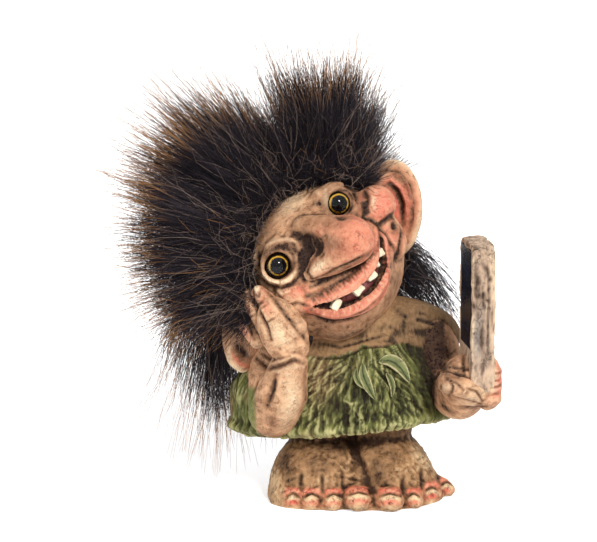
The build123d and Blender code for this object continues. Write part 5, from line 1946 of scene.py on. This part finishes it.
        # only the hairs that stand out of the pile have bleached tips
        away = line[-1] - np.array(HEAD_CENTRE)
        up = away[2] * math.cos(ELEVATION) + away[1] * math.sin(ELEVATION)
        edge = self.reach(math.degrees(math.atan2(up, away[0])) % 360)
        dark = math.hypot(away[0], up) < 0.88 * edge and chance.random() < 0.85
        if growth is FLYAWAY:
            return line, chance.uniform(*PALE_SHADES)
        if growth is WISP and not dark:
            return line, chance.uniform(*GINGER_SHADES)
        return line, float(np.clip(chance.random() * 0.6 + tone, 0.0, DARK_MOST))

    def threads(self, name: str, lines: list[np.ndarray]) -> bpy.types.Mesh:
        """Tapering threads along the lines, closed at both ends.

        Args:
            name: the mesh's name.
            lines: each thread's places, in millimetres.

        Returns:
            The mesh.
        """
        curve = bpy.data.curves.new(name, "CURVE")
        curve.dimensions = "3D"
        for line in lines:
            spline = curve.splines.new("POLY")
            spline.points.add(self.points - 1)
            flat = np.concatenate((line * MM, np.ones((self.points, 1))), axis=1)
            spline.points.foreach_set("co", flat.ravel())
            spline.points.foreach_set("radius", np.linspace(1.0, 0.3, self.points) ** 0.8)
        profile = bpy.data.curves.new(f"{name}_profile", "CURVE")
        profile.dimensions = "2D"
        loop = profile.splines.new("POLY")
        loop.points.add(self.sides - 1)
        for index, point in enumerate(loop.points):
            angle = math.tau * index / self.sides
            point.co = (math.cos(angle) * self.width * MM, math.sin(angle) * self.width * MM, 0, 1)
        loop.use_cyclic_u = True
        shape = bpy.data.objects.new(f"{name}_profile", profile)
        curve.bevel_mode = "OBJECT"
        curve.bevel_object = shape
        curve.use_fill_caps = True
        mesh = evaluated(placed(name, curve))
        bpy.data.objects.remove(shape)
        return mesh

    def keyed(self, mesh: bpy.types.Mesh, shades: list[float]) -> None:
        """Keeps each strand's shade and the way along it, from 0 to 1, as the mesh's UV map.

        Args:
            mesh: the threads.
            shades: a shade for each thread, in their order.
        """
        corners = np.empty(len(mesh.loops), np.int32)
        mesh.loops.foreach_get("vertex_index", corners)
        per_ends, per_body = 2 * self.sides, self.sides * self.points
        # the end caps come first, from the last strand to the first
        caps = per_ends * len(shades)
        body = np.maximum(corners - caps, 0)
        is_cap = corners < caps
        strand = np.where(is_cap, len(shades) - 1 - corners // per_ends, body // per_body)
        cap_step = np.where(corners % per_ends < self.sides, self.points - 1, 0)
        step = np.where(is_cap, cap_step, body % per_body // self.sides)
        coords = np.stack((np.array(shades)[strand], step / (self.points - 1)), axis=1)
        mesh.uv_layers.new(name=STRAND_MAP).data.foreach_set("uv", coords.astype(np.float32).ravel())

    def strands(self, name: str, locks: list[Lock], count: int, seed: int) -> bpy.types.Object:
        """One patch of strands.

        Args:
            name: the piece's name.
            locks: the locks that it is made of.
            count: strands in each lock.
            seed: for the strands' places, lengths and shades.

        Returns:
            The patch as one mesh.
        """
        chance = np.random.default_rng(seed)
        grown = []
        for lock in locks:
            tone = chance.uniform(-0.12, 0.12)
            grown += [self.strand(lock, tone, chance) for _ in range(count)]
        lines, shades = zip(*(strand for strand in grown if strand))
        mesh = self.threads(name, lines)
        self.keyed(mesh, shades)
        bm = bmesh.new()
        bm.from_mesh(mesh)
        bmesh.ops.remove_doubles(bm, verts=bm.verts, dist=1e-7)
        bm.to_mesh(mesh)
        bm.free()
        return placed(name, mesh)

    def build(self) -> None:
        """Makes every patch of the wig."""
        material = FurPile().made()
        for index, (node, locks) in enumerate(self.locks().items()):
            counts = self.thin if node in ("fur_fall", "fur_nape") else self.thick
            count = counts[0]
            per_piece = max(1, self.per_piece // count)
            for part in range(0, len(locks), per_piece):
                name = f"{node}_strands_{part // per_piece}"
                piece = self.strands(name, locks[part : part + per_piece], count, self.seed + 31 * index + part)
                dressed(piece, material, "fur_pile", *((node,) if part == 0 else ()))


@dataclass(frozen=True)
class FurPile:
    """Acrylic long-pile faux fur: near-black brown, with the tips of many hairs bleached ginger."""

    name: str = "acrylic_fur"
    root: str = "#120F15"
    middle: str = "#18151B"
    pale: str = "#41383D"
    stray: str = "#927D70"
    tip: str = "#BC8855"

    def made(self) -> bpy.types.Material:
        """Builds the material, which reads each strand's shade and the way along it from its UV map.

        A shade up to 0.62 is a dark hair, from 0.62 to 0.72 a pale stray one, and above that one with a ginger tip.

        Returns:
            The material.
        """
        shading = Shading(bpy.data.materials.new(self.name))
        maths, mixed = shading.maths, shading.mixed
        uv = shading.add("UVMap", uv_map=STRAND_MAP).outputs[0]
        split = shading.add("SeparateXYZ", {0: uv}).outputs
        shade, along = split["X"], split["Y"]
        colour = mixed(along, linear(self.root), self.middle)
        colour = mixed(maths("MULTIPLY", shading.ranged(shade, 0.25, 0.62), along), colour, self.pale)
        colour = mixed(maths("MULTIPLY", maths("COMPARE", shade, 0.67, 0.045), 0.8), colour, self.stray)
        ginger = maths("GREATER_THAN", shade, 0.72)
        colour = mixed(maths("MULTIPLY", shading.ranged(along, 0.70, 0.92), ginger), colour, self.tip)
        return shading.painted(colour, 0.5, Specular_IOR_Level=0.16)


@dataclass(frozen=True)
class Studio:
    """Plain pale floor, soft lamps and the camera at the photograph's angle."""

    lens: float = 240.0
    sensor: float = 36.0
    frame_width: float = 597 * GRID * MM

    # each lamp's name, place, sizes and power
    lamp_plan: tuple[tuple[str, Place, tuple[float, float], float], ...] = (
        ("key", (0.34, -0.90, 0.72), (0.22, 0.38), 11.5),
        ("fill", (-0.9, -0.6, 0.5), (0.7, 0.7), 4.0),
        ("rim", (0.1, 0.8, 0.9), (0.5, 0.5), 4.0),
    )
    paper: str = "#F4F4F6"

    def camera(self) -> None:
        """Adds the camera."""
        up = Vector((0, math.sin(ELEVATION), math.cos(ELEVATION)))
        right = Vector((1, 0, 0))
        target = (right * (GRID_MIDDLE[0] - GRID_AXIS) + up * (GRID_FLOOR - GRID_MIDDLE[1])) * GRID * MM
        data = bpy.data.cameras.new("camera")
        data.lens = self.lens
        data.sensor_width = self.sensor
        data.clip_start = 0.05
        camera = placed("camera", data)
        camera.location = target + Vector(TO_VIEWER) * (self.frame_width * self.lens / self.sensor)
        camera.rotation_euler = (math.pi / 2 - ELEVATION, 0, 0)
        bpy.context.scene.camera = camera

    def lamps(self) -> None:
        """Adds three soft lamps and the world's even light."""
        aim = Vector((-0.01, 0, 0.075))
        for name, place, size, power in self.lamp_plan:
            data = bpy.data.lights.new(name, "AREA")
            data.shape = "RECTANGLE"
            data.size, data.size_y = size
            data.energy = power
            lamp = placed(name, data)
            lamp.location = place
            lamp.rotation_euler = (aim - Vector(place)).to_track_quat("-Z", "Y").to_euler()
        shading = Shading(bpy.data.worlds.new("studio"))
        strength = shading.ranged(shading.shown(), 0.0, 1.0, 0.35, 1.0)
        light = shading.add("Background", {"Color": (1, 1, 1, 1), "Strength": strength})
        bpy.context.scene.world = shading.surface(light, "OutputWorld")

    def floor(self) -> None:
        """Adds the floor, which keeps the figure's soft shadow and turns to plain white away from it."""
        bm = bmesh.new()
        bmesh.ops.create_grid(bm, x_segments=2, y_segments=2, size=3.0)
        mesh = meshed("studio_floor", bm)
        shading = Shading(bpy.data.materials.new("matt_paper"))
        away = shading.vectors("LENGTH", shading.place()).outputs["Value"]
        strength = shading.maths("MULTIPLY", shading.shown(), shading.ranged(away, 0.10, 0.30, 0.5, 1.0))
        paper = shading.add("BsdfDiffuse", {"Color": linear(self.paper)}).outputs[0]
        white = shading.add("Emission", {"Color": (1, 1, 1, 1), "Strength": strength}).outputs[0]
        mesh.materials.append(shading.surface(shading.add("AddShader", {0: paper, 1: white})))
        placed("studio_floor", mesh)


def main() -> None:
    """Builds the figure in order and reports each piece."""
    logging.basicConfig(level=logging.INFO, format="%(name)s: %(message)s")
    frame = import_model()
    for piece in (Head, Ears, Mouth, Eyes, Arms, Slab, Body, Leaves, Feet, Fur):
        piece().build()
    dress_hidden_nodes()
    bpy.context.scene.view_settings.view_transform = "Standard"
    studio = Studio()
    studio.camera()
    studio.lamps()
    studio.floor()
    log.info("nodes: %d", len(frame["nodes"]))


if __name__ == "__main__":
    main()
